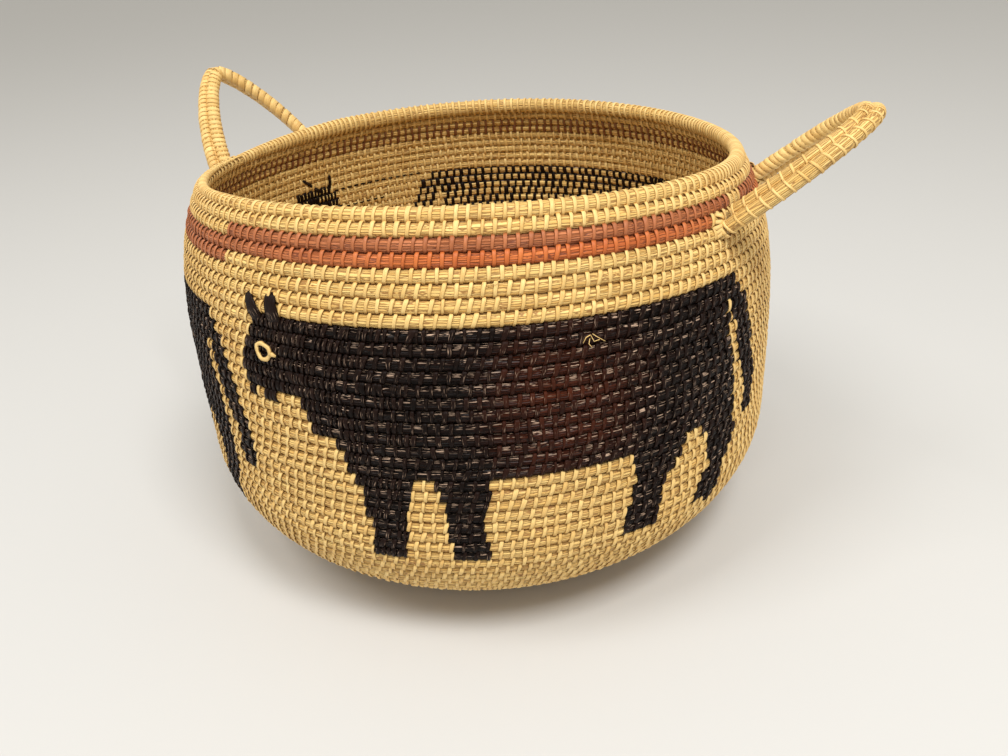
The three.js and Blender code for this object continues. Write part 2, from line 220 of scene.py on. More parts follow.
def body_frames(azimuth, along, depth):
    """Places on the body and their directions: along the coil, outwards, up the wall."""
    spot = place(azimuth, *outline_point(along, depth))
    beside = place(azimuth - AROUND_STEP, *outline_point(along, depth))
    reach = np.minimum(along + UPWARD_STEP, OUTLINE_LENGTH)
    above = place(azimuth, *outline_point(reach, depth))
    below = place(azimuth, *outline_point(reach - 2 * UPWARD_STEP, depth))
    x = unit(beside - spot)
    y = unit(np.cross(unit(above - below), x))
    return spot, x, y, np.cross(x, y)


print("row at the rim", round(row_height(RIM_START_TURN + 0.5) * 1000, 2), "mm")

# %% [markdown]
# Stitches are set two degrees apart on the wall. On the base the turns are small, so the stitches
# keep a distance of a few millimetres instead and there are fewer in a turn. Half a stitch more
# than a whole number in each turn sets every row between the stitches of the row below, as bricks
# are laid. Near the top the count is whole, and the hand's unevenness lets the rows drift.

# %% Where the stitches go
STITCH_SPACING = 0.0046
SMALLEST_TURN_RADIUS = 0.004
UPPER_ROWS_TURN = 50
UPPER_ROWS = {"in a turn": 180.0, "unevenness": 0.05}
LOWER_ROWS = {"in a turn": 180.5, "unevenness": 0.02}
STAGES = {
    "start_knot": (0.45, 1.5),
    "base_coil": (1.5, 12.35),
    "heel_coil": (12.35, 20.35),
    "bowl_coil": (20.35, 28.35),
    "foot_coil": (28.35, 34.35),
    "leg_band_coil": (34.35, 42.35),
    "flank_band_coil": (42.35, 48.35),
    "back_band_coil": (48.35, 54.35),
    "shoulder_coil": (54.35, BAND_END_TURN - 2),
    "terracotta_band_coil": (BAND_END_TURN - 2, BAND_END_TURN),
    "neck_coil": (BAND_END_TURN, RIM_START_TURN),
}
rng = np.random.default_rng(7)


def stitch_turns(first, last):
    turns = []
    turn = first
    while turn < last:
        turns.append(turn)
        rows = UPPER_ROWS if turn > UPPER_ROWS_TURN else LOWER_ROWS
        around = 2 * math.pi * max(float(outline_point(along_at(turn), 0)[0]), SMALLEST_TURN_RADIUS)
        count = min(rows["in a turn"], around / STITCH_SPACING)
        turn += (1 + rows["unevenness"] * rng.standard_normal()) / count
    return np.array(turns)


every_stitch = stitch_turns(STAGES["start_knot"][0], RIM_START_TURN)
print(len(every_stitch), "stitches below the rim")

# %% [markdown]
# The figures are three cattle in plain outline, a common motif on baskets of this kind. Each is
# drawn with dyed strip, stitch by stitch, so its edge has steps of one row. The outline is given
# in degrees from the nose and in rows counted down from the rim, and one test says for every
# stitch whether it lies inside. The third figure sits a row lower, as the coil climbs.

# %% The figures' outline
FIGURE = [
    (3.2, 8.6), (6.1, 8.0), (87.6, 8.0), (90.6, 8.2), (92.4, 9.3), (94.6, 10.0), (94.9, 11.3),
    (96.1, 12.5), (97.3, 14.5), (98.2, 16.5), (99.3, 18.6), (99.8, 20.0), (99.0, 21.8),
    (98.2, 22.2), (95.6, 22.3), (94.8, 20.4), (95.3, 19.0), (94.4, 17.5), (93.3, 16.0),
    (91.7, 14.0), (90.6, 12.0), (88.7, 10.2), (88.4, 12.0), (89.3, 14.0), (90.2, 15.2),
    (90.7, 17.0), (91.2, 19.0), (91.4, 22.5), (90.6, 24.0), (87.8, 26.0), (86.3, 28.8),
    (79.6, 28.2), (80.1, 27.2), (82.0, 26.0), (83.6, 24.5), (83.6, 23.0), (82.2, 21.0),
    (81.3, 20.4), (77.3, 20.4), (76.3, 21.6), (72.6, 24.2), (72.0, 26.0), (71.8, 27.9),
    (64.0, 27.7), (65.4, 26.0), (66.7, 23.5), (66.2, 20.1), (42.6, 20.0), (42.0, 22.0),
    (41.4, 24.0), (41.6, 27.8), (35.3, 27.9), (35.6, 25.5), (34.5, 22.0), (33.2, 19.7),
    (31.3, 19.7), (28.2, 23.5), (27.9, 25.0), (28.2, 26.5), (27.8, 28.0), (21.4, 28.0),
    (22.3, 25.0), (21.9, 23.0), (21.0, 21.0), (18.5, 17.6), (14.8, 17.2), (12.6, 14.6),
    (11.0, 14.2), (6.8, 14.1), (0.4, 14.1), (0.3, 12.0), (1.8, 10.2),
]
LIPS = [
    [(0.2, 14.0), (2.6, 14.0), (2.6, 15.0), (0.2, 15.0)],
    [(4.6, 14.0), (7.2, 14.0), (7.2, 15.0), (4.6, 15.0)],
]
FIGURES = [
    {"nose": -101.6, "stretch": 1.0, "lower": 0, "neck_dip": 0},
    {"nose": 157.3, "stretch": 0.995, "lower": 0, "neck_dip": 2, "ear_nose": 161.5},
    {"nose": 39.0, "stretch": 1.03, "lower": 1, "neck_dip": 0},
]
BACK_ROW = 8
NECK_START, NECK_END = 14, 36
ROW_JOG_DEGREES = 254


def inside_outline(x, y, outline):
    inside = np.zeros(x.shape, bool)
    for (x0, y0), (x1, y1) in zip(outline, outline[1:] + outline[:1]):
        crosses = (y0 > y) != (y1 > y)
        if y0 != y1:
            inside ^= crosses & (x < (x1 - x0) * (y - y0) / (y1 - y0) + x0)
    return inside


def is_dark(turn):
    """Whether a turn lies in a figure. Past the jog, a figure's rows are counted one lower."""
    azimuth = np.degrees(azimuth_at(turn))
    dark = np.zeros(turn.shape, bool)
    for figure in FIGURES:
        degrees = (azimuth - figure["nose"]) % 360
        past_jog = (figure["nose"] > 0) & (figure["nose"] + degrees > ROW_JOG_DEGREES)
        across = degrees / figure["stretch"]
        down = row_of(turn) - figure["lower"] - past_jog
        dip = (across > NECK_START) & (across < NECK_END) & (down < BACK_ROW + figure["neck_dip"])
        dark |= inside_outline(across, down, FIGURE) & ~dip
        for lip in LIPS:
            dark |= inside_outline((across + 180) % 360 - 180, down, lip)
    return dark


print("dark stitches", int(is_dark(every_stitch).sum()))

# %% [markdown]
# The two dyed rows end at the band's end. A short stretch of each stayed pale, near the right
# handle, and the lower row took more of the dye in front, where it is orange and not brick red.

# %% The terracotta rows
TERRACOTTA_DYE = 0.88
MORE_DYE = {-100: 0, -66: 0.11, -40: 0.11, -12: 0.05}
UPPER_ROW_PALE = (-7, -2)
LOWER_ROW_PALE = (-14, -4)


def terracotta_at(turn):
    """How much of the terracotta dye there is."""
    degrees = degrees_at(turn)

    def dyed(row, pale):
        before_end = BAND_END_TURN - turn
        return (before_end > row) & (before_end < row + 1) & ((degrees < pale[0]) | (degrees > pale[1]))

    more = np.interp(degrees, list(MORE_DYE), list(MORE_DYE.values()))
    upper = dyed(0, UPPER_ROW_PALE) * TERRACOTTA_DYE
    return upper + dyed(1, LOWER_ROW_PALE) * (TERRACOTTA_DYE + more)


# %% [markdown]
# Small helpers: they make an object from finished geometry, bake a modifier into a plain mesh,
# write a value for every point, which the materials read by name, and build trees of nodes.

# %% Helpers for objects, attributes and nodes
def new_object(name, data):
    made = bpy.data.objects.new(name, data)
    bpy.context.scene.collection.objects.link(made)
    return made


def made_plain(source, name):
    """A copy of what an object looks like after its modifiers, as an ordinary mesh object."""
    bpy.context.view_layer.update()
    evaluated = source.evaluated_get(bpy.context.evaluated_depsgraph_get())
    mesh = bpy.data.meshes.new_from_object(evaluated)
    mesh.name = name
    bpy.data.objects.remove(source)
    return new_object(name, mesh)


def write_attribute(mesh, name, values, domain="POINT"):
    values = np.asarray(values, np.float32)
    kind, content = ("FLOAT_VECTOR", "vector") if values.ndim > 1 else ("FLOAT", "value")
    layer = mesh.attributes.get(name) or mesh.attributes.new(name, kind, domain)
    layer.data.foreach_set(content, values.ravel())


def corner_places(mesh):
    places = np.zeros(len(mesh.vertices) * 3, np.float32)
    mesh.vertices.foreach_get("co", places)
    return places.reshape(-1, 3)


def move_corners(mesh, places, lowest):
    """Moves the corners of a mesh, and lifts the ones that would be under the ground."""
    places[:, 2] = np.maximum(places[:, 2], lowest)
    mesh.vertices.foreach_set("co", places.astype(np.float32).ravel())
    mesh.update()


def start_tree(name, kind, takes, gives):
    """A node tree with its input and output nodes. The sockets are given by name and kind."""
    tree = bpy.data.node_groups.new(name, kind)
    for side, sockets in {"INPUT": takes, "OUTPUT": gives}.items():
        for socket, socket_kind in sockets.items():
            tree.interface.new_socket(socket, in_out=side, socket_type="NodeSocket" + socket_kind)
    return tree, tree.nodes.new("NodeGroupInput").outputs, tree.nodes.new("NodeGroupOutput")


def set_or_link(tree, value, socket):
    """Gives a socket a value, or links another socket to it."""
    if isinstance(value, bpy.types.NodeSocket):
        tree.links.new(value, socket)
    else:
        socket.default_value = value


def set_inputs(tree, node, **inputs):
    """Sets or links inputs of a node by name. A space in a name is written as _."""
    for name, value in inputs.items():
        set_or_link(tree, value, node.inputs[name.replace("_", " ")])


def add(tree, kind, **inputs):
    """A new node with some of its inputs set or linked."""
    node = tree.nodes.new(kind)
    set_inputs(tree, node, **inputs)
    return node


# %% [markdown]
# The bundle is a tube along the path. A curve with a round profile makes it: a point where each
# stitch pulls the grass in and one halfway between, where it bulges. Geometry Nodes turns the
# curve into a mesh because the rings then come out in order, and each corner can be told where it
# lies in the bundle: how far along, and where in the section. The grass stems follow that.

# %% A tube of grass
TUBE_SIDES = 12
LOWEST_GRASS = 0.0002


def tube_maker():
    mesh = {"Geometry": "Geometry"}
    tree, taken, given = start_tree("tube maker", "GeometryNodeTree", mesh, mesh)
    profile = add(tree, "GeometryNodeCurvePrimitiveCircle", Resolution=TUBE_SIDES, Radius=1)
    size = add(tree, "GeometryNodeInputRadius")
    sweep = add(tree, "GeometryNodeCurveToMesh", Curve=taken[0], Profile_Curve=profile.outputs[0],
                Scale=size.outputs[0], Fill_Caps=True)
    smooth = add(tree, "GeometryNodeSetShadeSmooth", Geometry=sweep.outputs[0])
    set_inputs(tree, given, Geometry=smooth.outputs[0])
    return tree


TUBE_MAKER = tube_maker()


def grass_tube(name, path, outwards, upwards, radius, flatten=None):
    """A bundle of grass along a path, and how far out and up in the bundle each corner is."""
    curve = bpy.data.curves.new(name, "CURVE")
    curve.dimensions = "3D"
    curve.twist_mode = "Z_UP"
    spline = curve.splines.new("POLY")
    spline.points.add(len(path) - 1)
    spline.points.foreach_set("co", np.column_stack([path, np.ones(len(path))]).ravel())
    spline.points.foreach_set("radius", np.asarray(radius, float))
    swept = new_object(name + "_path", curve)
    swept.modifiers.new("tube", "NODES").node_group = TUBE_MAKER
    tube = made_plain(swept, name)
    rings = np.repeat(np.arange(len(path)), TUBE_SIDES)
    corners = corner_places(tube.data)
    offset = corners - path[rings]
    forwards = np.cross(outwards, upwards)[rings]
    x = (offset * forwards).sum(-1)
    y = (offset * outwards[rings]).sum(-1)
    z = (offset * upwards[rings]).sum(-1)
    write_attribute(tube.data, "fibre", np.stack([distances_along(path)[rings], y, z], -1))
    if flatten is not None:
        squeezed = (y * np.broadcast_to(flatten, len(path))[rings])[:, None] * outwards[rings]
        corners = path[rings] + squeezed + z[:, None] * upwards[rings] + x[:, None] * forwards
    move_corners(tube.data, corners, LOWEST_GRASS)
    return tube, y, z


# %% [markdown]
# Each stage of the coil becomes a tube. The dye is only in the strips, but dark strips run along
# the bundle as well, under the stitches, so the outer half of the bundle takes the figure's colour
# from stitch to stitch and the inside stays pale.

# %% The coil's stages
COIL_FULLNESS = 1.09
COIL_FLATNESS = 0.94
COIL_PINCH, COIL_BULGE = 0.965, 1.03
COIL_UNEVENNESS = 0.014
CLOSEST_TURNS = 0.0012
DYED_DOWN_TO = -0.0020
# Where the bundle turns down into the groove between rows, its colour takes painted shade.
GROOVE_SHADE_START, GROOVE_SHADE_DEPTH = 0.8, 0.28


def stage_stitches(first, last):
    return every_stitch[(every_stitch > first) & (every_stitch < last)]


def with_bulges(stitches):
    """Turns for the path: one at each stitch and one halfway to the next."""
    turns = np.empty(len(stitches) * 2 - 1)
    turns[0::2] = stitches
    turns[1::2] = (stitches[:-1] + stitches[1:]) / 2
    return turns


def pulled_in(count, pinch, bulge):
    """A size for each point of such a path: pinched at the stitches, bulging between them."""
    return np.where(np.arange(count) % 2 == 0, pinch, bulge)


def dye_faces(tube, dark=(), rust=()):
    """Writes the dye of a tube's sides, in order. The other faces stay undyed."""
    for name, sides in {"dark": dark, "rust": rust}.items():
        faces = np.zeros(len(tube.data.polygons))
        faces[:len(sides)] = sides
        write_attribute(tube.data, name, faces, "FACE")


def dye_coil(tube, y, turns):
    """The outer half of the bundle takes the dye between two stitches."""
    y = y.reshape(-1, TUBE_SIDES)
    face_y = (y[:-1] + y[1:]) / 2
    face_y = (face_y + np.roll(face_y, -1, axis=1)) / 2
    outer = (face_y > DYED_DOWN_TO).ravel()
    middle = np.repeat((turns[0:-1:2] + turns[2::2]) / 2, 2 * TUBE_SIDES)
    dye_faces(tube, is_dark(middle) & outer, terracotta_at(middle) * outer)


def coil_stage(name, first, last):
    stitches = np.unique(np.concatenate([[first], stage_stitches(first, last), [last]]))
    stitches = np.delete(stitches, np.where(np.diff(stitches) < CLOSEST_TURNS)[0] + 1)
    stitches[-1] = last
    turns = with_bulges(stitches)
    height = row_height(turns)
    spot, _, outwards, upwards = body_frames(azimuth_at(turns), along_at(turns), COIL_RADIUS)
    uneven = 1 + COIL_UNEVENNESS * rng.standard_normal(len(turns))
    radius = 0.5 * height * pulled_in(len(turns), COIL_PINCH, COIL_BULGE) * uneven * COIL_FULLNESS
    tube, y, z = grass_tube(name + "_grass", spot, outwards, upwards, radius, COIL_FLATNESS)
    sideways = np.abs(z) / np.repeat(0.5 * height, TUBE_SIDES)
    # Painted shade: a mask that darkens the bundle's colour towards the grooves between rows.
    write_attribute(tube.data, "groove", np.clip((sideways - GROOVE_SHADE_START) / GROOVE_SHADE_DEPTH, 0, 1))
    dye_coil(tube, y, turns)
    return tube


coils = {}
for name, (first, last) in STAGES.items():
    coils[name] = coil_stage(name, first, last)
    print(name, len(coils[name].data.polygons), "faces")

# %% [markdown]
# The rim's bundle is thicker. It fills the height that is left under a level top, so it is tallest
# where it starts and thinner in front, and its end tapers into a tail that lies on the row below.

# %% The rim
RIM_FULLNESS = 0.84
RIM_SWELL = 0.1
RIM_PINCH, RIM_BULGE = 0.985, 1.02
RIM_UNEVENNESS = 0.06
RIM_FIRST_WRAP = 0.002
RIM_LAST_WRAP = 0.01
RIM_SPACING = {
    -180: 1.2, -125: 1.2, -105: 1.95, -15: 1.95, 5: 1.2, 50: 1.3, 75: 1.8, 140: 1.8, 165: 1.25, 180: 1.2,
}
TAIL_TURNS = 0.15
TAIL_SIZE = 0.3


def rim_section(turn):
    """Bottom, height and width of the rim's section."""
    swell = np.clip((turn - RIM_START_TURN) / RIM_SWELL, 0, 1)
    tail = TAIL_SIZE + (1 - TAIL_SIZE) * np.clip((LAST_TURN - turn) / TAIL_TURNS, 0, 1)
    bottom = along_at(turn - 0.5)
    top = along_at(turn + 0.5) * (1 - swell) + OUTLINE_LENGTH * swell
    height = top - bottom
    width = np.maximum(height * RIM_FULLNESS, 2 * COIL_RADIUS) * tail
    return bottom, height * tail, width


def rim_frames(turn):
    """Places and directions along the middle of the rim, with its height and width there."""
    bottom, height, width = rim_section(turn)
    return body_frames(azimuth_at(turn), bottom + height / 2, COIL_RADIUS), height, width


def rim_turns():
    """Where the wraps of the rim are: their spacing in degrees changes round the basket."""
    turns = []
    turn = RIM_START_TURN + RIM_FIRST_WRAP
    while turn < LAST_TURN - RIM_LAST_WRAP:
        turns.append(turn)
        spacing = np.interp(degrees_at(turn), list(RIM_SPACING), list(RIM_SPACING.values()))
        turn += float(spacing) * (1 + RIM_UNEVENNESS * rng.standard_normal()) / 360
    return np.array(turns)


rim_stitches = rim_turns()
turns = with_bulges(np.concatenate([[RIM_START_TURN], rim_stitches[1:], [LAST_TURN]]))
(spot, _, outwards, upwards), height, width = rim_frames(turns)
radius = height / 2 * pulled_in(len(turns), RIM_PINCH, RIM_BULGE)
coils["rim_coil"], _, _ = grass_tube("rim_coil_grass", spot, outwards, upwards, radius, width / height)
dye_faces(coils["rim_coil"])
print("rim wraps", len(rim_stitches))

# %% [markdown]
# A stitch is a flat strip. It comes out of the row below, goes up over the outside of the bundle,
# across the top and down the inside into the row below again. Its section has a narrower top
# than bottom, so it reads as a rounded strip. A strip is modelled by extruding its end face from
# place to place. Each extrusion is moved with one matrix, so any path will do. The face that is
# left behind inside the strip is removed each time, and only the two ends stay closed.

# %% A strip along a path
STRIP_SECTION = [(-0.5, -0.4), (0.5, -0.4), (0.36, 0.6), (-0.36, 0.6)]


def strip_matrices(places):
    """A matrix at each place of a strip: x across it, y off the surface and z ahead."""
    matrices = []
    for i, (spot, normal) in enumerate(places):
        ahead = (places[min(i + 1, len(places) - 1)][0] - places[max(i - 1, 0)][0]).normalized()
        across = ahead.cross(normal).normalized()
        matrix = Matrix((across, across.cross(ahead), ahead)).transposed().to_4x4()
        matrix.translation = spot
        matrices.append(matrix)
    return matrices


def add_strip(bm, places, width, thickness):
    """Extrudes a strip's end face along pairs of a place and a normal. The corners keep their
    place in the strip: across it, along it and off the surface."""
    layer = bm.verts.layers.float_vector.get("strip") or bm.verts.layers.float_vector.new("strip")
    matrices = strip_matrices(places)
    widths = width if isinstance(width, list) else [width] * len(places)
    corners = [bm.verts.new((a, b, 0)) for a, b in STRIP_SECTION]
    face = bm.faces.new(corners)
    start = matrices[0] @ Matrix.Diagonal((widths[0], thickness, 1, 1))
    bmesh.ops.transform(bm, matrix=start, verts=corners)
    for corner, (a, b) in zip(corners, STRIP_SECTION):
        corner[layer] = (a * widths[0], 0, b * thickness)
    travelled = 0.0
    for i in range(1, len(places)):
        grown = bmesh.ops.extrude_face_region(bm, geom=[face])["geom"]
        if i > 1:
            bm.faces.remove(face)
        face = next(part for part in grown if isinstance(part, bmesh.types.BMFace))
        ends = list(face.verts)
        step = matrices[i] @ Matrix.Diagonal((widths[i] / widths[i - 1], 1, 1, 1))
        bmesh.ops.transform(bm, matrix=step @ matrices[i - 1].inverted(), verts=ends)
        travelled += (places[i][0] - places[i - 1][0]).length
        for corner in ends:
            across, _, off = corner[layer]
            corner[layer] = (across * widths[i] / widths[i - 1], travelled, off)


def finished_mesh(bm, name):
    bmesh.ops.recalc_face_normals(bm, faces=bm.faces)
    mesh = bpy.data.meshes.new(name)
    bm.to_mesh(mesh)
    bm.free()
    mesh.polygons.foreach_set("use_smooth", [True] * len(mesh.polygons))
    return mesh


# %% [markdown]
# Real stitches are never quite alike, but thousands of different ones would be heavy. Three kinds
# of six forms are enough: with little lean, with some, and with much, each bent and widened a
# little by chance. They are made once at the coil's middle, with x along the coil, y outwards and
# z up. Their path is in millimetres.

# %% The stitch forms
STITCH_PATH = [
    (0.5, 0.5, -3.3), (0.42, 1.9, -2.85), (0.22, 2.9, -1.7), (0, 3.24, 0.1), (-0.22, 3.12, 1.6),
    (-0.4, 2.78, 2.8), (-0.48, 2.15, 3.5), (-0.5, 0.3, 3.8), (-0.5, -2.4, 3.3), (-0.5, -3.2, 0.8),
    (-0.45, -2.95, -1.8), (-0.45, -2.2, -3.1), (-0.45, -0.7, -3.7),
]
STITCH_WIDTHS = [0.7, 0.82, 0.95, 1.0, 1.06, 1.12, 1.0, 0.7, 1.0, 1.08, 1.05, 1.0, 0.8]
LEANS = [0.3, 0.9, 1.6]
FORMS_PER_LEAN = 6
STRIP_WIDTH = 1.9
STRIP_THICKNESS = 0.48
FORM_WIDTHS = (0.86, 1.14)
FORM_SWING = 0.35
FORM_WOBBLE = 0.08

form_collection = bpy.data.collections.new("stitch forms")


def keep_form(places, width, thickness):
    """Makes a strip and adds it to the collection, named by its number there."""
    bm = bmesh.new()
    add_strip(bm, places, width, thickness)
    mesh = finished_mesh(bm, f"stitch_form_{len(form_collection.objects):02d}")
    form_collection.objects.link(bpy.data.objects.new(mesh.name, mesh))


def stitch_form(lean, seed):
    chance = random.Random(seed)
    swing = chance.uniform(-FORM_SWING, FORM_SWING)
    places = []
    for x, y, z in STITCH_PATH:
        wobble = chance.uniform(-FORM_WOBBLE, FORM_WOBBLE)
        spot = Vector((x * lean + swing * z / 4 + wobble, y, z)) * 0.001
        places.append((spot, Vector((0, y, z + 0.9)).normalized()))
    broad = STRIP_WIDTH * 0.001 * chance.uniform(*FORM_WIDTHS)
    keep_form(places, [broad * share for share in STITCH_WIDTHS], STRIP_THICKNESS * 0.001)


for seed in range(len(LEANS) * FORMS_PER_LEAN):
    stitch_form(LEANS[seed // FORMS_PER_LEAN], seed)

# %% [markdown]
# The stitches are set on the coil with Geometry Nodes: a cloud of points holds for each stitch its
# place, its turn in space, its size, which form it takes, its dye and how light it is. The node
# tree puts the chosen form on each point, and the result is kept as a plain mesh.

# %% Setting stitches on points
LOWEST_STRIP = 0.0001
POINT_VALUES = {
    "form": ("INT", "Instance Index"),
    "turned": ("QUATERNION", "Rotation"),
    "size": ("FLOAT_VECTOR", "Scale"),
}


def stitch_setter():
    mesh = {"Geometry": "Geometry"}
    tree, taken, given = start_tree("stitch setter", "GeometryNodeTree", mesh, mesh)
    forms = add(tree, "GeometryNodeCollectionInfo", Collection=form_collection,
                Separate_Children=True, Reset_Children=True)
    setter = add(tree, "GeometryNodeInstanceOnPoints", Points=taken[0], Instance=forms.outputs[0],
                 Pick_Instance=True)
    for name, (kind, socket) in POINT_VALUES.items():
        value = add(tree, "GeometryNodeInputNamedAttribute", Name=name)
        value.data_type = kind
        tree.links.new(value.outputs["Attribute"], setter.inputs[socket])
    realize = add(tree, "GeometryNodeRealizeInstances", Geometry=setter.outputs[0])
    set_inputs(tree, given, Geometry=realize.outputs[0])
    return tree


STITCH_SETTER = stitch_setter()


def set_stitches(name, frames, size, form, dark=0.0, rust=0.0, tucked=0.0):
    """One piece of many stitches: a form at each frame, which is a place and three directions."""
    spots, *directions = frames
    count = len(spots)
    turned = [Matrix(m.tolist()).to_quaternion()[:] for m in np.stack(directions, -1)]
    points = bpy.data.meshes.new(name + "_points")
    points.vertices.add(count)
    points.vertices.foreach_set("co", spots.astype(np.float32).ravel())
    for kind, values in {"form": form.astype(np.int32), "turned": np.array(turned, np.float32)}.items():
        layer = points.attributes.new(kind, POINT_VALUES[kind][0], "POINT")
        layer.data.foreach_set("value", values.ravel())
    write_attribute(points, "size", size)
    for kind, values in {"dark": dark, "rust": rust, "shade": rng.random(count), "tucked": tucked}.items():
        write_attribute(points, kind, np.broadcast_to(values, count))
    cloud = new_object(name + "_points", points)
    cloud.modifiers.new("set", "NODES").node_group = STITCH_SETTER
    made = made_plain(cloud, name)
    for leftover in POINT_VALUES:
        if leftover in made.data.attributes:
            made.data.attributes.remove(made.data.attributes[leftover])
    move_corners(made.data, corner_places(made.data), LOWEST_STRIP)
    return made


# %% [markdown]
# The stitches lean a little near the top, much above the figures and again low down, and hardly
# at all between. Dark strips are wider and less even than pale ones. On the figures' heads there
# are twice as many stitches, and fewer and fewer extra ones towards the flank.

# %% The stitches of the coil
LEAN_ROWS = (5, 12, 18)
LEAN_KINDS = np.array([1, 2, 0, 2])
DARK_SLIP, PALE_SLIP = 0.6, 0.3
DARK_WIDTH, DARK_UNEVENNESS = 1.12, 1.8
PALE_WIDTH_ROWS, PALE_WIDTHS = [9, 14], [1.0, 1.05]
WIDTH_UNEVENNESS = 0.1
HEIGHT_UNEVENNESS = 0.02
FORM_HEIGHT = 0.0061
CLOSE_WRAPS_END = [14, 34]


def lean_kind(turn):
    kind = LEAN_KINDS[np.searchsorted(LEAN_ROWS, row_of(turn), side="right")]
    slip = rng.random(len(turn)) < np.where(is_dark(turn), DARK_SLIP, PALE_SLIP)
    return np.where(slip, np.clip(kind + rng.integers(-1, 2, len(turn)), 0, 2), kind)


def coil_stitches(name, turns):
    count = len(turns)
    dark = is_dark(turns)
    broad = np.where(dark, DARK_WIDTH, np.interp(row_of(turns), PALE_WIDTH_ROWS, PALE_WIDTHS))
    uneven = np.where(dark, DARK_UNEVENNESS, 1.0)
    size = np.stack([
        broad * (1 + WIDTH_UNEVENNESS * uneven * rng.standard_normal(count)),
        1 + HEIGHT_UNEVENNESS * uneven * rng.standard_normal(count),
        row_height(turns) / FORM_HEIGHT * (1 + HEIGHT_UNEVENNESS * rng.standard_normal(count)),
    ], -1)
    form = lean_kind(turns) * FORMS_PER_LEAN + rng.integers(0, FORMS_PER_LEAN, count)
    frames = body_frames(azimuth_at(turns), along_at(turns), COIL_RADIUS)
    # Coil stitches get painted shade at their feet, where they go into the row below.
    return set_stitches(name, frames, size, form, dark, terracotta_at(turns), tucked=1.0)


def with_close_wraps(turns):
    halves = (turns[:-1] + turns[1:]) / 2
    azimuth = np.degrees(azimuth_at(halves))
    from_nose = np.min([(azimuth - figure["nose"]) % 360 for figure in FIGURES], axis=0)
    closely = rng.random(len(halves)) < np.interp(from_nose, CLOSE_WRAPS_END, [1, 0])
    return np.sort(np.concatenate([turns, halves[closely & is_dark(halves)]]))


stitches = {}
for name, (first, last) in STAGES.items():
    stitches[name] = coil_stitches(name + "_stitches", with_close_wraps(stage_stitches(first, last)))
    print(name, "stitches", len(stitches[name].data.polygons), "faces")

# %% [markdown]
# The rim is wrapped with the same strip, but all the way round, as it's the last row. Its forms
# are closed loops that follow the rounded, taller section.

# %% The rim's wraps
RIM_FORMS = 6
RIM_FORM_RADIUS = 0.00318
RIM_FORM_SIZE = 0.006
RIM_WRAP_WIDTH = 0.0021
RIM_WRAP_THICKNESS = 0.00045
RIM_LEAN_AT_TOP = -0.0004
UNDER_THE_RIM = -110
LOOP_STEP = 20
RIM_SEED = 50


def rim_form(seed):
    """A loop all round the rim, which starts and ends under it."""
    chance = random.Random(RIM_SEED + seed)
    places = []
    for degrees in range(UNDER_THE_RIM, UNDER_THE_RIM + 360 + 1, LOOP_STEP):
        angle = math.radians(degrees)
        across, upright = math.cos(angle), math.sin(angle)
        lean = RIM_LEAN_AT_TOP * upright + chance.uniform(-0.00006, 0.00006)
        spot = Vector((lean, across * RIM_FORM_RADIUS, upright * RIM_FORM_RADIUS))
        places.append((spot, Vector((0, across, upright))))
    keep_form(places, RIM_WRAP_WIDTH * chance.uniform(0.88, 1.12), RIM_WRAP_THICKNESS)


first_rim_form = len(form_collection.objects)
for seed in range(RIM_FORMS):
    rim_form(seed)
frames, height, width = rim_frames(rim_stitches)
count = len(rim_stitches)
size = np.stack([
    1 + 0.06 * rng.standard_normal(count),
    width / RIM_FORM_SIZE * (1 + 0.01 * rng.standard_normal(count)),
    height / RIM_FORM_SIZE,
], -1)
form = first_rim_form + rng.integers(0, RIM_FORMS, count)
stitches["rim_coil"] = set_stitches("rim_coil_stitches", frames, size, form)
print("the rim's wraps have", len(stitches["rim_coil"].data.polygons), "faces")

# %% [markdown]
# A handle is a stiff loop of two bundles side by side, sewn to each other and to the outside of
# the wall. Each bundle is a tube along the loop, and each is wrapped with strip. The wraps of the
# two bundles lean opposite ways, so a zigzag seam shows between them.

# %% Handle paths
BUNDLE_RADIUS = 0.0036
BUNDLE_OFFSET = 0.00375
HANDLE_SPAN = 0.080
HANDLE_STAND_OFF = 0.005
LEG_STRAIGHT = 0.006
LEG_TAIL = 0.014
LEG_SUNK = 0.003
LOOP_SAMPLES = 160
PATH_STEP = 0.001
HANDLES = {
    "right": {
        "azimuth": 4, "lean": 51, "turn": 62,
        "foot": WALL_HEIGHT - 0.018, "reach": 0.067, "roundness": 2.0,
    },
    "left": {
        "azimuth": 176, "lean": 35, "turn": 44,
        "foot": WALL_HEIGHT - 0.027, "reach": 0.073, "roundness": 1.4,
    },
}


def wall_radius(height):
    return float(np.interp(height, outline_z[ABOVE_BELLY], outline_r[ABOVE_BELLY]))


def handle_frame(handle):
    """The middle between a handle's feet, and the directions sideways, up and out of its loop."""
    azimuth = math.radians(handle["azimuth"])
    lean = math.radians(handle["lean"])
    outwards = Vector((math.cos(azimuth), math.sin(azimuth), 0))
    upwards = Vector((0, 0, 1))
    up = outwards * math.sin(lean) + upwards * math.cos(lean)
    out = outwards * math.cos(lean) - upwards * math.sin(lean)
    foot_radius = wall_radius(handle["foot"]) + HANDLE_STAND_OFF
    chord_radius = math.sqrt(foot_radius ** 2 - (HANDLE_SPAN / 2) ** 2)
    middle = Vector(place(azimuth, chord_radius, handle["foot"]).tolist())
    return middle, upwards.cross(outwards), up, out


def points_at(path, distances):
    """The points of a path at distances along it."""
    return np.stack([np.interp(distances, distances_along(path), path[:, i]) for i in range(3)], -1)


def even_steps(path, step):
    """The same path with points a step apart."""
    length = distances_along(path)[-1]
    return points_at(path, np.linspace(0, length, int(length / step) + 1))


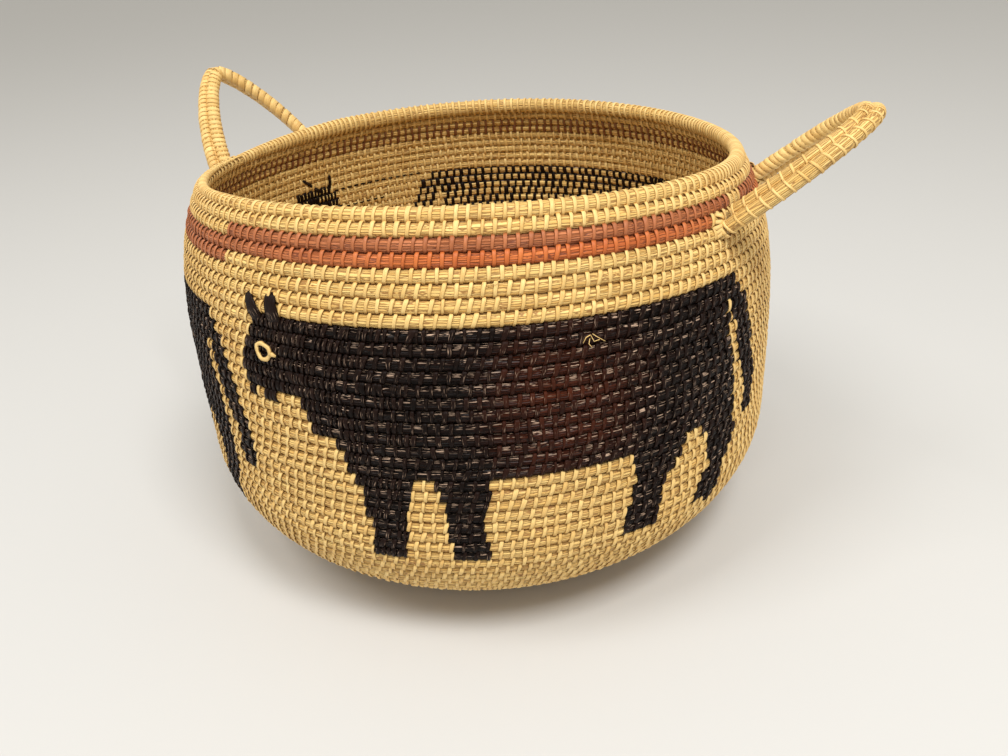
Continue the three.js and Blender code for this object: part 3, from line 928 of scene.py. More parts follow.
def handle_path(handle, off):
    """The middle of one bundle. The pair is turned, so the lower bundle is also the outer one."""
    middle, sideways, up, out = handle_frame(handle)
    beside = off * math.cos(math.radians(handle["turn"]))
    outside = off * math.sin(math.radians(handle["turn"]))
    half = HANDLE_SPAN / 2 + outside
    power = 2 / handle["roundness"]
    legs = [-LEG_TAIL, -LEG_TAIL / 2, 0]
    flat = [(half, height) for height in legs]
    for angle in np.linspace(0, math.pi, LOOP_SAMPLES):
        across = math.copysign(abs(math.cos(angle)) ** power, math.cos(angle)) * half
        reach = handle["reach"] + outside * 0.5 - LEG_STRAIGHT
        flat.append((across, LEG_STRAIGHT + reach * max(math.sin(angle), 0) ** power))
    flat += [(-half, height) for height in reversed(legs)]
    points = [middle + sideways * a + up * b + out * beside for a, b in flat]
    return even_steps(np.array([list(p) for p in points]), PATH_STEP)


def outside_wall(path):
    """Keeps the points of a path that are outside the wall, or at most a little sunk in it."""
    radius = np.hypot(path[:, 0], path[:, 1])
    wall = np.array([wall_radius(min(z, WALL_HEIGHT)) for z in path[:, 2]])
    return path[radius > wall - LEG_SUNK]


def path_directions(path, out):
    """Directions along a handle: ahead, out of the loop's plane, and away from its middle."""
    ahead = unit(np.gradient(path, axis=0))
    away = unit(np.cross(ahead, np.broadcast_to(np.array(out), path.shape)))
    return ahead, np.cross(away, ahead), away


for side, handle in HANDLES.items():
    print(side, "handle's middle", [round(v, 4) for v in handle_frame(handle)[0]])

# %% [markdown]
# A wrap goes all the way round its bundle, so it is a ring rather than an open strip. It is one
# strip bent into a circle, and its ends meet where the other bundle hides them. Leaning it makes
# it look wound and not stacked.

# %% Handle bundles and wraps
RING_STEPS = 12
RING_THICKNESS = 0.00055
RING_SEED = 100
RINGS_EACH = 4
FIRST_WRAP = 0.003
LAST_WRAP = 0.002
BUNDLE_PINCH, BUNDLE_BULGE = 0.97, 1.03
BUNDLE_UNEVENNESS = 0.012
SPACING_UNEVENNESS = 0.07
RING_UNEVENNESS = 0.05
RING_UNEVENNESS_BY_AXIS = (1.6, 0.3, 0.3)
WRAPS = {
    "right_far": {"spacing": 0.0033, "width": 0.0031, "lean": 0.0014, "radius": 0.00355},
    "right_near": {"spacing": 0.0066, "width": 0.0014, "lean": 0.0008, "radius": 0.00365},
    "left_near": {"spacing": 0.0031, "width": 0.0028, "lean": 0.0010, "radius": 0.0037},
    "left_far": {"spacing": 0.0049, "width": 0.0048, "lean": 0.0020, "radius": 0.0037},
}
WRAP_ORDER = {"right": ("far", "near"), "left": ("near", "far")}


def ring_form(lean, radius, width, start):
    """A wrap all round a bundle, from the angle start."""
    chance = random.Random(RING_SEED + len(form_collection.objects))
    places = []
    for i in range(RING_STEPS + 1):
        angle = start - i / RING_STEPS * 2 * math.pi
        swell = radius * (1 + chance.uniform(-0.02, 0.02))
        spot = Vector((math.cos(angle) * lean, math.cos(angle) * swell, math.sin(angle) * swell))
        places.append((spot, Vector((0, math.cos(angle), math.sin(angle)))))
    keep_form(places, width * chance.uniform(0.93, 1.07), RING_THICKNESS)


for wrap in WRAPS.values():
    wrap["first"] = len(form_collection.objects)
    for lean, start in ((wrap["lean"], 0), (-wrap["lean"], math.pi)):
        for _ in range(RINGS_EACH):
            ring_form(lean, wrap["radius"], wrap["width"], start)


def wrap_places(side, path):
    """Distances along a bundle at which it's wrapped, and the kind of wrap at each."""
    length = distances_along(path)[-1]
    order = WRAP_ORDER[side]
    places = []
    kinds = []
    distance = FIRST_WRAP
    while distance < length - LAST_WRAP:
        kinds.append(f"{side}_{order[0] if distance < length / 2 else order[1]}")
        places.append(distance)
        distance += WRAPS[kinds[-1]]["spacing"] * (1 + SPACING_UNEVENNESS * rng.standard_normal())
    return np.array(places), kinds


def handle_bundle(name, side, layer, off):
    """A bundle of a handle and its wraps. Those of the lower bundle lean the other way."""
    whole = outside_wall(handle_path(HANDLES[side], off))
    places, kinds = wrap_places(side, whole)
    path = points_at(whole, with_bulges(places))
    ahead, out, away = path_directions(path, handle_frame(HANDLES[side])[3])
    pinch = pulled_in(len(path), BUNDLE_PINCH, BUNDLE_BULGE)
    radius = BUNDLE_RADIUS * pinch * (1 + BUNDLE_UNEVENNESS * rng.standard_normal(len(path)))
    tube, _, _ = grass_tube(name + "_grass", path, out, away, radius)
    dye_faces(tube)
    count = len(places)
    first = np.array([WRAPS[kind]["first"] for kind in kinds])
    form = first + rng.integers(0, RINGS_EACH, count) + RINGS_EACH * (layer == "lower")
    size = 1 + RING_UNEVENNESS * rng.standard_normal((count, 3)) * RING_UNEVENNESS_BY_AXIS
    ahead, out = ahead[0::2], out[0::2]
    frames = (path[0::2], ahead, out, np.cross(ahead, out))
    print(name, count, "wraps")
    return tube, set_stitches(name + "_wraps", frames, size, form)


bundles = {}
for side in HANDLES:
    for layer, off in {"upper": -BUNDLE_OFFSET, "lower": BUNDLE_OFFSET}.items():
        name = f"{side}_handle_{layer}_bundle"
        bundles[name] = handle_bundle(name, side, layer, off)

# %% [markdown]
# Where a leg meets the wall it's lashed on, with tight turns round both bundles and longer
# stitches that run from the leg into the rows beside it. One turn and a fan of strips show that.

# %% Lashings
LASHING_RADIUS = 0.0040
LASHING_STEPS = 19
LASHING_WIDTH = 0.0021
LASHING_LIFT = 0.001
LASHING_SLANT = 0.0005
LASHING_UNEVENNESS = 0.0001
FAN_STRIPS = 9
FAN_FIRST_DEGREES = -125
FAN_STEP_DEGREES = 21
FAN_WIDTH = 0.0023
FAN_LIFT = 0.003
FAN_START = 0.0048
FAN_REACH = (0.0100, 0.0120)
FAN_STEPS = 6
FAN_ON_WALL = 0.0004
FAN_ROOT_HEIGHT = 0.0012
FAN_ARCH_HEIGHT = 0.0007
FAN_END_DEPTH = 0.0012
LASHED_THICKNESS = 0.0005
CONTACT_STEP = 0.00025


def wall_contact(foot, up):
    """How far a leg's middle lies below its foot where it meets the wall."""
    lift = 0.0
    spot = foot
    while math.hypot(spot.x, spot.y) > wall_radius(min(spot.z, WALL_HEIGHT)) and lift > -LEG_TAIL:
        lift -= CONTACT_STEP
        spot = foot + up * lift
    return lift


def wall_place(azimuth, along, proud):
    """A place on the body with its normal, a little proud of the outside or under it."""
    spot, _, outwards, _ = body_frames(azimuth, along, -proud)
    return Vector(spot.tolist()), Vector(outwards.tolist())


def on_wall(point, proud):
    """The nearest place on the outside of the wall to a point."""
    azimuth = math.atan2(point.y, point.x)
    heights = place(azimuth, outline_r[ABOVE_BELLY], outline_z[ABOVE_BELLY])[:, 2]
    return wall_place(azimuth, np.interp(point.z, heights, outline_s[ABOVE_BELLY]), proud)


def wound_places(centre, wide, narrow, up, chance):
    """One tight turn round two bundles that lie side by side."""
    places = []
    for i in range(LASHING_STEPS + 1):
        angle = 2 * math.pi * i / LASHING_STEPS
        x, y = math.cos(angle), math.sin(angle)
        across = x * LASHING_RADIUS + math.copysign(BUNDLE_OFFSET, x)
        slant = up * (LASHING_SLANT * x + chance.uniform(-LASHING_UNEVENNESS, LASHING_UNEVENNESS))
        spot = centre + wide * across + narrow * (y * LASHING_RADIUS) + slant
        places.append((spot, wide * x + narrow * y))
    return places


def fan_places(root, spoke, reach):
    """A strip that leaves the lashing, runs along the wall and goes in under a stitch."""
    start = root + spoke * FAN_START
    end = root + spoke * reach
    places = []
    for step in range(FAN_STEPS + 1):
        share = step / FAN_STEPS
        flat, normal = on_wall(start.lerp(end, share), FAN_ON_WALL)
        height = FAN_ROOT_HEIGHT * (1 - share) + FAN_ARCH_HEIGHT * math.sin(math.pi * share)
        places.append((flat + normal * (height - FAN_END_DEPTH * share ** 4), normal))
    return places


def strip_piece(name, bm, dark=0.0, shade=0.5):
    """A finished piece of strip with one dye and one shade all over."""
    mesh = finished_mesh(bm, name)
    for kind, value in {"dark": dark, "rust": 0.0, "shade": shade}.items():
        write_attribute(mesh, kind, np.full(len(mesh.vertices), value))
    return new_object(name, mesh)


def lashing(name, handle, across, seed):
    chance = random.Random(seed)
    middle, sideways, up, out = handle_frame(handle)
    foot = middle + sideways * across
    contact = wall_contact(foot, up)
    turn = math.radians(handle["turn"])
    beyond = math.copysign(1, across)
    wide = out * math.cos(turn) + sideways * math.sin(turn) * beyond
    narrow = sideways * math.cos(turn) * beyond - out * math.sin(turn)
    bm = bmesh.new()
    wound = wound_places(foot + up * (contact + LASHING_LIFT), wide, narrow, up, chance)
    add_strip(bm, wound, LASHING_WIDTH, LASHED_THICKNESS)
    root = foot + up * (contact + FAN_LIFT)
    for i in range(FAN_STRIPS):
        angle = math.radians(FAN_FIRST_DEGREES + FAN_STEP_DEGREES * i + chance.uniform(-6, 6))
        spoke = sideways * math.cos(angle) * beyond + up * math.sin(angle)
        add_strip(bm, fan_places(root, spoke, chance.uniform(*FAN_REACH)), FAN_WIDTH, LASHED_THICKNESS)
    return strip_piece(name, bm)


lashings = {}
for side, handle in HANDLES.items():
    for letter, across in {"a": HANDLE_SPAN / 2, "b": -HANDLE_SPAN / 2}.items():
        name = f"{side}_handle_lashing_{letter}"
        lashings[name] = lashing(name + "_strips", handle, across, len(lashings))
print(len(lashings), "lashings")

# %% [markdown]
# Each figure has two ears, which are wide dyed strips over two rows, and an eye, which is a thin
# pale strip sewn down in a ring. They are strips on the surface, so the same tool makes them, and
# the path takes each point's place and normal from the body.

# %% Ears and eyes
WALL_THICKNESS = 0.0062
EAR_THICKNESS = 0.0008
EYE = {"degrees": 6.05, "row": 10.75, "half width": 1.5, "half height": 0.62, "thickness": 0.0009}
EYE_TUCKED_START = [(8.5, 10.95, 0.0), (8.1, 10.85, 0.0009)]
EYE_LIFT = 0.0008
EYE_CLIMB = 0.00002
EYE_STEPS = 20
EYE_PLACES = 22
EYE_END_WIDTHS = (0.0014, 0.0016)


def place_at(degrees, row, proud):
    """A place and its normal by azimuth and row: outside where proud, inside where it's below."""
    spot, normal = wall_place(math.radians(degrees), along_at(turn_at(degrees, row)), proud)
    return spot, normal * (-1 if proud < -WALL_THICKNESS / 2 else 1)


def figure_place(figure, degrees, row, proud):
    """A place on a figure, by degrees from its nose and rows below the rim."""
    nose = figure.get("ear_nose", figure["nose"])
    return place_at(nose + degrees * figure["stretch"], row + figure["lower"], proud)


def sewn_strips(name, runs, width, thickness, dark=0.0, shade=0.5):
    """A piece with one strip along each run of places and normals."""
    bm = bmesh.new()
    for places in runs:
        add_strip(bm, places, width, thickness)
    return strip_piece(name, bm, dark, shade)


EAR_WIDTHS = {
    "front": [0.0040, 0.0072, 0.0078, 0.0068, 0.0054, 0.0036],
    "rear": [0.0056, 0.0078, 0.0084, 0.0080, 0.0072, 0.0060],
}
EARS = {
    "front": [
        (5.3, 8.6, -0.8), (4.8, 8.2, 0.5), (4.1, 7.7, 1.1),
        (3.5, 7.2, 0.9), (3.0, 6.8, 0.2), (2.6, 6.4, -1.0),
    ],
    "rear": [
        (9.3, 8.6, -0.8), (8.9, 8.2, 0.5), (8.5, 7.6, 1.1),
        (8.2, 7.1, 0.9), (8.0, 6.6, 0.2), (7.9, 6.3, -1.0),
    ],
}


def ear_strip(name, figure, ear):
    places = [figure_place(figure, a, row, lift * 0.001) for a, row, lift in EARS[ear]]
    return sewn_strips(name + "_sewn", [places], EAR_WIDTHS[ear], EAR_THICKNESS, dark=1.0)


def eye_ring(name, figure):
    """A ring that starts under the surface and ends on top of its own start."""
    ring = [figure_place(figure, *point) for point in EYE_TUCKED_START]
    for i in range(EYE_PLACES):
        angle = 2 * math.pi * i / EYE_STEPS
        uneven = 1 + 0.08 * math.sin(3 * angle + 2.4) + 0.03 * math.sin(7 * angle)
        degrees = EYE["degrees"] + EYE["half width"] * uneven * math.cos(angle)
        row = EYE["row"] + EYE["half height"] * uneven * math.sin(angle)
        ring.append(figure_place(figure, degrees, row, EYE_LIFT + EYE_CLIMB * i))
    start, end = EYE_END_WIDTHS
    widths = [start] + [0.0022 + 0.0003 * math.sin(1.7 * i) for i in range(EYE_PLACES)] + [end]
    return sewn_strips(name + "_sewn", [ring], widths, EYE["thickness"], shade=0.6)


details = {}
for number, figure in enumerate(FIGURES, 1):
    for ear in EARS:
        name = f"figure_{number}_{ear}_ear_strip"
        details[name] = ear_strip(name, figure, ear)
    name = f"figure_{number}_eye_ring"
    details[name] = eye_ring(name, figure)
print(len(details), "details of the figures")

# %% [markdown]
# On the inside of the second figure the maker's thread shows: the ears' ends, and the dark strip
# that was carried along the row to the next figure, caught under a stitch now and then. A few
# grass ends have also come loose. All of these are thin strips again. Each place is given by its
# azimuth in degrees, its row, and how far it's proud of the outside.

# %% Threads inside and loose fibres
SUNK = -0.0056
BACK = -0.0066
BACK_OF_DASH = -0.0068
DASH_STEP = 1.9
THREAD_THICKNESS = 0.0004
EAR_ENDS = [
    [(161.6, 6.3, SUNK), (161.5, 7.0, BACK), (161.5, 7.8, BACK), (161.4, 8.6, SUNK)],
    [(169.6, 6.2, SUNK), (168.6, 6.6, BACK), (167.6, 7.0, BACK), (166.4, 7.5, SUNK)],
    [(167.0, 7.3, SUNK), (165.4, 8.0, BACK), (163.6, 8.6, SUNK)],
]
LOOSE_ENDS = [
    [(-41.9, 9.3, -0.0002), (-42.3, 9.2, 0.0010), (-43.0, 9.3, 0.0014), (-43.4, 9.7, 0.0006)],
    [(-41.7, 9.2, -0.0002), (-41.2, 9.4, 0.0012), (-40.6, 9.6, 0.0012), (-40.0, 9.8, 0.0014)],
    [(-42.0, 9.3, -0.0002), (-41.7, 9.7, 0.0010), (-40.9, 9.6, 0.0016)],
    [(-42.2, 9.5, -0.0002), (-42.6, 9.8, 0.0012), (-42.1, 10.1, 0.0012)],
    [(-57.0, 5.3, -0.0002), (-56.2, 5.1, 0.0012), (-55.2, 4.9, 0.0018)],
]


def dashes(first, last, row):
    """Short runs along a row on the inside, with their ends sunk between the stems."""
    runs = []
    degrees = first
    while degrees > last:
        middle, end = degrees - DASH_STEP * 0.3, degrees - DASH_STEP * 0.6
        runs.append([(degrees, row, SUNK), (middle, row, BACK_OF_DASH), (end, row, SUNK)])
        degrees -= DASH_STEP
    return runs


def thread(name, runs, width, dark, shade):
    places = [[place_at(*point) for point in run] for run in runs]
    return sewn_strips(name, places, width, THREAD_THICKNESS, dark, shade)


carried = dashes(160, 137, 8.8) + dashes(157, 146, 11.3)
threads = [
    ("shoulder_coil", thread("ear_ends_inside", EAR_ENDS, 0.0021, 1.0, 0.5)),
    ("back_band_coil", thread("carried_strip", carried, 0.0010, 1.0, 0.4)),
    ("shoulder_coil", thread("loose_fibres_0", LOOSE_ENDS, 0.00032, 0.0, 0.9)),
]
print(len(threads), "pieces of thread and fibre")

# %% [markdown]
# The finish starts with the colours, as read off the picture in daylight, and turned from screen
# values to the linear ones that a shader works with. The other helpers here add the nodes that
# blend, stretch and remap, so that a material reads like a recipe.

# %% Colours and small shader helpers
def colour(red, green, blue):
    """A screen colour from 0 to 255 as a linear shader colour."""
    def linear(value):
        value /= 255
        return value / 12.92 if value <= 0.04045 else ((value + 0.055) / 1.055) ** 2.4
    return (linear(red), linear(green), linear(blue), 1)


def operate(tree, kind, operation, *values):
    """A node that calculates with values or sockets."""
    node = tree.nodes.new(kind)
    node.operation = operation
    for value, socket in zip(values, node.inputs):
        set_or_link(tree, value, socket)
    return node


def calculate(tree, operation, first, second):
    return operate(tree, "ShaderNodeMath", operation, first, second).outputs[0]


def times(tree, first, second):
    return calculate(tree, "MULTIPLY", first, second)


def stretch_vector(tree, vector, scale):
    return operate(tree, "ShaderNodeVectorMath", "MULTIPLY", vector, scale).outputs[0]


def blend_colours(tree, share, first, second):
    """A mix of two colours, each a socket or a constant, by a socket."""
    node = tree.nodes.new("ShaderNodeMix")
    node.data_type = "RGBA"
    for number, value in {0: share, 6: first, 7: second}.items():
        set_or_link(tree, value, node.inputs[number])
    return node.outputs[2]


def remap(tree, value, low, high, start=0.0, end=1.0):
    """A value from low to high, spread from start to end and held there."""
    return add(tree, "ShaderNodeMapRange", Value=value, From_Min=low, From_Max=high,
               To_Min=start, To_Max=end).outputs[0]


def attribute(tree, name, kind="Fac"):
    node = tree.nodes.new("ShaderNodeAttribute")
    node.attribute_name = name
    return node.outputs[kind]


# %% [markdown]
# Grass stems run along the bundle. Cells of a Voronoi texture, stretched thirty times along the
# bundle, give each stem its own tone, and the distance to a cell's edge gives the painted shade in
# the gaps between stems and their round backs. A stretched noise marks where glints are painted on
# black stems. The texture reads the bundle's own coordinates, so the stems follow the spiral.

# %% Stems, as a node group
STEMS_PER_METRE = 840


def stems_group():
    gives = {name: "Float" for name in ("Shade", "Gap", "Height", "Glint")}
    tree, taken, given = start_tree("Grass stems", "ShaderNodeTree", {"Fibre": "Vector"}, gives)
    fibre = taken["Fibre"]
    stretched = stretch_vector(tree, fibre, (0.035, 1, 1))
    wander = add(tree, "ShaderNodeTexNoise", Vector=fibre, Scale=45.0, Detail=1.0)
    moved = operate(tree, "ShaderNodeVectorMath", "MULTIPLY_ADD",
                    wander.outputs["Color"], (0.0, 0.0012, 0.0012), stretched).outputs[0]
    cells = add(tree, "ShaderNodeTexVoronoi", Vector=moved, Scale=STEMS_PER_METRE)
    edges = add(tree, "ShaderNodeTexVoronoi", Vector=moved, Scale=STEMS_PER_METRE)
    edges.feature = "DISTANCE_TO_EDGE"
    split = add(tree, "ShaderNodeSeparateColor", Color=cells.outputs["Color"])
    fine = add(tree, "ShaderNodeTexNoise", Vector=stretch_vector(tree, fibre, (130, 2600, 2600)),
               Scale=1.0, Detail=3.0)
    shine = add(tree, "ShaderNodeTexNoise", Vector=stretch_vector(tree, fibre, (130, 2400, 2400)),
                Scale=1.0, Detail=1.0)
    shade = calculate(tree, "ADD", remap(tree, split.outputs[0], 0, 1, 0, 0.66),
                      remap(tree, fine.outputs[0], 0.3, 0.7, 0, 0.34))
    # The Gap mask is painted shade in the gaps between stems.
    distance = edges.outputs["Distance"]
    set_inputs(tree, given, Shade=shade, Gap=remap(tree, distance, 0.025, 0.085, 1, 0),
               Height=remap(tree, distance, 0.0, 0.25),
               Glint=remap(tree, shine.outputs[0], 0.56, 0.63))
    return tree


STEMS = stems_group()

# %% [markdown]
# A strip is split from a leaf, so fine streaks run along it. One noise texture, stretched along
# the strip, gives both the streaks' colour and a slight relief. A second group gives the soft
# blotches of age that run over the whole basket.

# %% Streaks and blotches, as node groups
def streaks_group():
    takes = {"Strip": "Vector", "Offset": "Float"}
    tree, taken, given = start_tree("Strip streaks", "ShaderNodeTree", takes, {"Streak": "Float"})
    noise = add(tree, "ShaderNodeTexNoise", Scale=1.0, Detail=3.0,
                Vector=stretch_vector(tree, taken["Strip"], (3400, 260, 1200)))
    noise.noise_dimensions = "4D"
    set_inputs(tree, noise, W=times(tree, taken["Offset"], 90.0))
    set_inputs(tree, given, Streak=remap(tree, noise.outputs[0], 0.3, 0.7))
    return tree


def blotches_group():
    takes, gives = {"Place": "Vector"}, {"Blotch": "Float"}
    tree, taken, given = start_tree("Uneven ageing", "ShaderNodeTree", takes, gives)
    noise = add(tree, "ShaderNodeTexNoise", Scale=26.0, Detail=4.0,
                Vector=stretch_vector(tree, taken["Place"], (1, 1, 2.2)))
    set_inputs(tree, given, Blotch=remap(tree, noise.outputs[0], 0.35, 0.68))
    return tree


STREAKS = streaks_group()
BLOTCHES = blotches_group()


def placed_group(tree, group, **inputs):
    node = tree.nodes.new("ShaderNodeGroup")
    node.node_tree = group
    set_inputs(tree, node, **inputs)
    return node.outputs


# %% [markdown]
# Two materials cover the whole basket: grass and strip. Both mix an undyed, a black and a
# terracotta version by the dye that each face or stitch carries. The dark figure has faded to
# red-brown in one place, so a soft mask in object coordinates warms it there. Both also carry
# painted shade in gaps, grooves and strip feet, and painted glints on black.

# %% Materials
STRAW_LIGHT = colour(250, 216, 138)
STRAW_MID = colour(226, 182, 101)
STRAW_DEEP = colour(212, 162, 82)
# This colour is painted shade: in the gaps between stems, the grooves between rows, and at the strips'
# feet and lower sides.
STRAW_PAINTED_SHADE = colour(128, 78, 26)
STRIP_LIGHT = colour(250, 218, 146)
STRIP_DEEP = colour(208, 162, 88)
BLACK_LIGHT = colour(31, 16, 11)
# The deepest black is also painted shade, in the gaps and grooves of black grass.
BLACK_DEEP = colour(5, 3, 2)
BLACK_STRIP = colour(38, 22, 16)
BLACK_WARM = colour(84, 36, 16)
# Painted highlight: the colour of glints painted on black stems and black strips.
PAINTED_GLINT = colour(212, 180, 154)
ORANGE_LIGHT = colour(214, 118, 54)
ORANGE_DEEP = colour(172, 80, 32)
BRICK_LIGHT = colour(187, 98, 58)
BRICK_DEEP = colour(140, 63, 35)
# This colour is painted shade on terracotta, in the same places.
RUST_PAINTED_SHADE = colour(92, 36, 14)
RUST_INSIDE = colour(108, 48, 18)

FADED_DEGREES = -46
FADED_ROW = 14.5
FADED_FROM, FADED_TO = 0.014, 0.05


def start_material(name):
    material = bpy.data.materials.new(name)
    material.use_nodes = True
    tree = material.node_tree
    tree.nodes.clear()
    surface = tree.nodes.new("ShaderNodeBsdfPrincipled")
    output = tree.nodes.new("ShaderNodeOutputMaterial")
    tree.links.new(surface.outputs[0], output.inputs["Surface"])
    coordinates = tree.nodes.new("ShaderNodeTexCoord")
    return material, tree, surface, coordinates.outputs["Object"]


def faded_patch(tree, place_socket, blotch):
    """Where the black has faded to red-brown: a soft patch on the first figure's flank."""
    centre, _ = place_at(FADED_DEGREES, FADED_ROW, 0)
    far = operate(tree, "ShaderNodeVectorMath", "DISTANCE", place_socket, centre)
    near = remap(tree, far.outputs["Value"], FADED_FROM, FADED_TO, 1, 0)
    return times(tree, near, remap(tree, blotch, 0, 1, 0.45, 1))


def aged_straw(tree, tone, blotch, deep, light):
    straw = blend_colours(tree, tone, deep, light)
    return blend_colours(tree, times(tree, blotch, 0.3), straw, STRAW_MID)


def black_dye(tree, tone, patch, light):
    return blend_colours(tree, times(tree, patch, 0.75),
                         blend_colours(tree, tone, BLACK_DEEP, light), BLACK_WARM)


def rust_dye(tree, tone, red):
    """Brick red, and orange where the strip took more dye."""
    brick = blend_colours(tree, tone, BRICK_DEEP, BRICK_LIGHT)
    orange = blend_colours(tree, tone, ORANGE_DEEP, ORANGE_LIGHT)
    return blend_colours(tree, remap(tree, red, 0.89, 0.98), brick, orange)


def dye_surface(tree, surface, straw, rust, black, roughness, gloss):
    """Mixes the three colours by the dye. The pairs are for undyed and for black strip."""
    dark = attribute(tree, "dark")
    lighter = blend_colours(tree, attribute(tree, "rust"), straw, rust)
    set_inputs(tree, surface, Base_Color=blend_colours(tree, dark, lighter, black),
               Roughness=remap(tree, dark, 0, 1, *roughness),
               Specular_IOR_Level=remap(tree, dark, 0, 1, *gloss))


def add_bump(tree, surface, height, strength, distance):
    bump = add(tree, "ShaderNodeBump", Height=height, Strength=strength, Distance=distance)
    set_inputs(tree, surface, Normal=bump.outputs[0])


def part_of(tree, vector, axis):
    """One part of a vector: X, Y or Z."""
    return add(tree, "ShaderNodeSeparateXYZ", Vector=vector).outputs[axis]


def grass_material():
    material, tree, surface, place_socket = start_material("dry grass bundle")
    fibre = attribute(tree, "fibre", "Vector")
    stems = placed_group(tree, STEMS, Fibre=fibre)
    shade = stems["Shade"]
    blotch = placed_group(tree, BLOTCHES, Place=place_socket)["Blotch"]
    # Painted shade: the gaps between stems and the grooves between rows are darkened in the colour of
    # pale, terracotta and black grass.
    groove = times(tree, attribute(tree, "groove"), 0.8)
    gap_and_groove_shade = calculate(tree, "MAXIMUM", times(tree, stems["Gap"], 0.78), groove)
    straw = aged_straw(tree, shade, blotch, STRAW_DEEP, STRAW_LIGHT)
    straw = blend_colours(tree, gap_and_groove_shade, straw, STRAW_PAINTED_SHADE)
    rust = rust_dye(tree, shade, attribute(tree, "rust"))
    rust = blend_colours(tree, gap_and_groove_shade, rust, RUST_PAINTED_SHADE)
    black = black_dye(tree, shade, faded_patch(tree, place_socket, blotch), BLACK_LIGHT)
    black = blend_colours(tree, gap_and_groove_shade, black, BLACK_DEEP)
    # Painted highlights: glints on the upper side of black stems, where the light falls.
    upper = remap(tree, part_of(tree, fibre, "Z"), 0.0006, 0.0014)
    painted_glint = times(tree, upper, stems["Glint"])
    painted_glint = times(tree, painted_glint, remap(tree, blotch, 0, 1, 0.95, 0.35))
    black = blend_colours(tree, painted_glint, black, PAINTED_GLINT)
    dye_surface(tree, surface, straw, rust, black, roughness=(0.58, 0.34), gloss=(0.4, 0.1))
    add_bump(tree, surface, stems["Height"], 0.8, 0.0006)
    return material


def strip_material():
    """The strip's colour follows its length: painted shade at its foot, a painted highlight on its upper
    shoulder, and its back.
    """
    material, tree, surface, place_socket = start_material("sewing strip")
    shade = attribute(tree, "shade")
    strip = attribute(tree, "strip", "Vector")
    length = part_of(tree, strip, "Y")
    streak = placed_group(tree, STREAKS, Strip=strip, Offset=shade)["Streak"]
    blotch = placed_group(tree, BLOTCHES, Place=place_socket)["Blotch"]
    tone = calculate(tree, "ADD", times(tree, streak, 0.55), times(tree, shade, 0.45))
    # Painted shade at the foot of a coil stitch, where it goes into the row below.
    foot = times(tree, remap(tree, length, 0.0012, 0.0030, 0.75, 0), attribute(tree, "tucked"))
    # Painted shade on the lower sides of every strip.
    painted_edge_shade = remap(tree, part_of(tree, strip, "Z"), 0.0002, -0.0001, 0, 0.6)
    foot = calculate(tree, "MAXIMUM", foot, painted_edge_shade)
    straw = aged_straw(tree, tone, blotch, STRIP_DEEP, STRIP_LIGHT)
    straw = blend_colours(tree, foot, straw, STRAW_PAINTED_SHADE)
    rust = rust_dye(tree, tone, attribute(tree, "rust"))
    rust = blend_colours(tree, foot, rust, RUST_PAINTED_SHADE)
    rust = blend_colours(tree, remap(tree, length, 0.0095, 0.0115), rust, RUST_INSIDE)
    patch = times(tree, faded_patch(tree, place_socket, blotch), remap(tree, shade, 0, 1, 0.35, 1))
    black = black_dye(tree, tone, patch, BLACK_STRIP)
    # Painted highlight: glints on the upper shoulder of black strips.
    shoulder = times(tree, remap(tree, length, 0.0030, 0.0042), remap(tree, length, 0.0062, 0.0074, 1, 0))
    painted_glint = times(tree, shoulder, remap(tree, streak, 0.72, 0.95, 0, 0.5))
    black = blend_colours(tree, painted_glint, black, PAINTED_GLINT)
    dye_surface(tree, surface, straw, rust, black, roughness=(0.5, 0.42), gloss=(0.4, 0.09))
    add_bump(tree, surface, streak, 0.7, 0.0002)
    return material


GRASS = grass_material()
STRIP = strip_material()
print("materials", GRASS.name, "and", STRIP.name)

# %% [markdown]
# Each piece gets its material and rides on the basket's one body. It takes the place of a node of
# the imported model, which is hidden. The forms aren't needed any more.

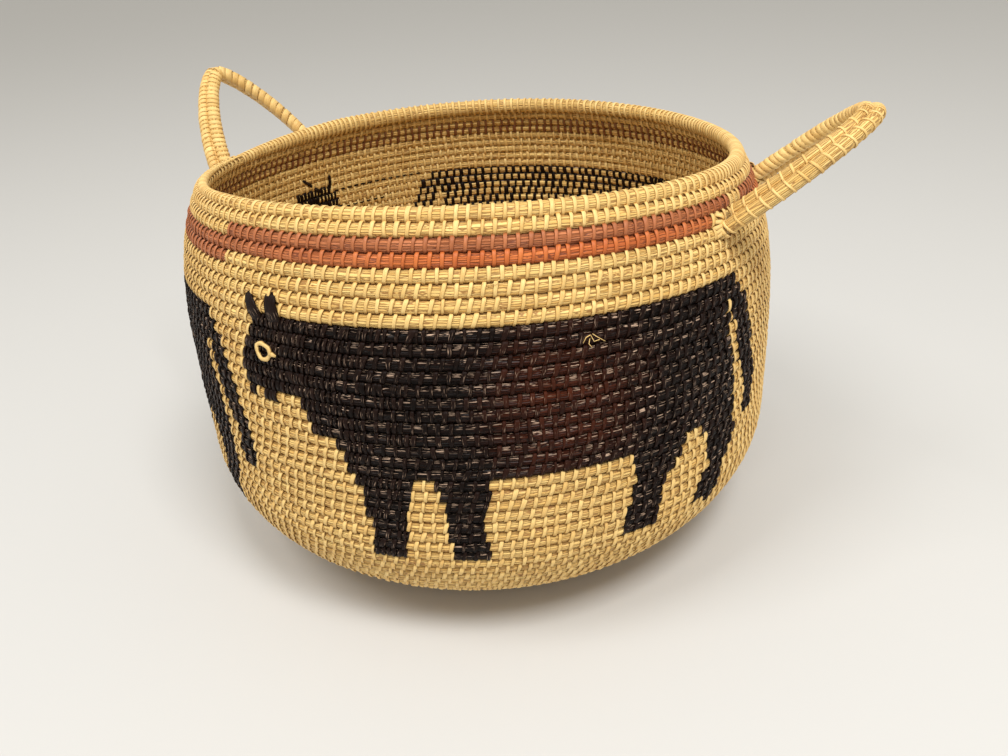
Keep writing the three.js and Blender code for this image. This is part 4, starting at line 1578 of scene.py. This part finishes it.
# %% Finish the pieces
def finish_piece(piece, material, node):
    piece.data.materials.clear()
    piece.data.materials.append(material)
    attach(piece, "root")
    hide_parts(node)


for name, coil in coils.items():
    finish_piece(coil, GRASS, name)
    finish_piece(stitches[name], STRIP, name)
for name, (tube, wraps) in bundles.items():
    finish_piece(tube, GRASS, name)
    finish_piece(wraps, STRIP, name)
for name, piece in lashings.items():
    finish_piece(piece, STRIP, name)
for name, piece in details.items():
    finish_piece(piece, STRIP, name)
for node, piece in threads:
    finish_piece(piece, STRIP, node)
for form in list(form_collection.objects):
    bpy.data.objects.remove(form)
bpy.data.collections.remove(form_collection)
pieces = 2 * (len(coils) + len(bundles)) + len(lashings) + len(details) + len(threads)
print(pieces, "pieces")

# %% [markdown]
# The light is plain and soft, as near a window: a bright even sky and two large lamps. Straw
# is pale, so the lamps stay low enough that nothing turns white.

# %% Floor, light and view settings
floor_mesh = bpy.data.meshes.new("floor")
bm = bmesh.new()
bmesh.ops.create_grid(bm, x_segments=1, y_segments=1, size=40)
bm.to_mesh(floor_mesh)
bm.free()
floor = new_object("floor", floor_mesh)
floor_material, tree, surface, _ = start_material("plain floor")
set_inputs(tree, surface, Base_Color=colour(204, 203, 200), Roughness=0.8)
floor.data.materials.append(floor_material)

world = bpy.data.worlds.new("soft daylight")
world.use_nodes = True
background = world.node_tree.nodes["Background"]
set_inputs(world.node_tree, background, Color=colour(250, 246, 238), Strength=0.7)
bpy.context.scene.world = world


def area_lamp(name, spot, target, size, watts):
    lamp = bpy.data.lights.new(name, "AREA")
    lamp.size = size
    lamp.energy = watts
    turned = (Vector(target) - Vector(spot)).to_track_quat("-Z", "Y").to_matrix().to_4x4()
    new_object(name, lamp).matrix_world = Matrix.Translation(spot) @ turned


area_lamp("window", (-0.5, -1.0, 1.9), (0, 0, 0.12), 0.8, 17)
area_lamp("ceiling", (0.7, -0.5, 1.5), (-0.05, 0.06, 0.18), 0.5, 18)
bpy.context.scene.view_settings.view_transform = "Standard"
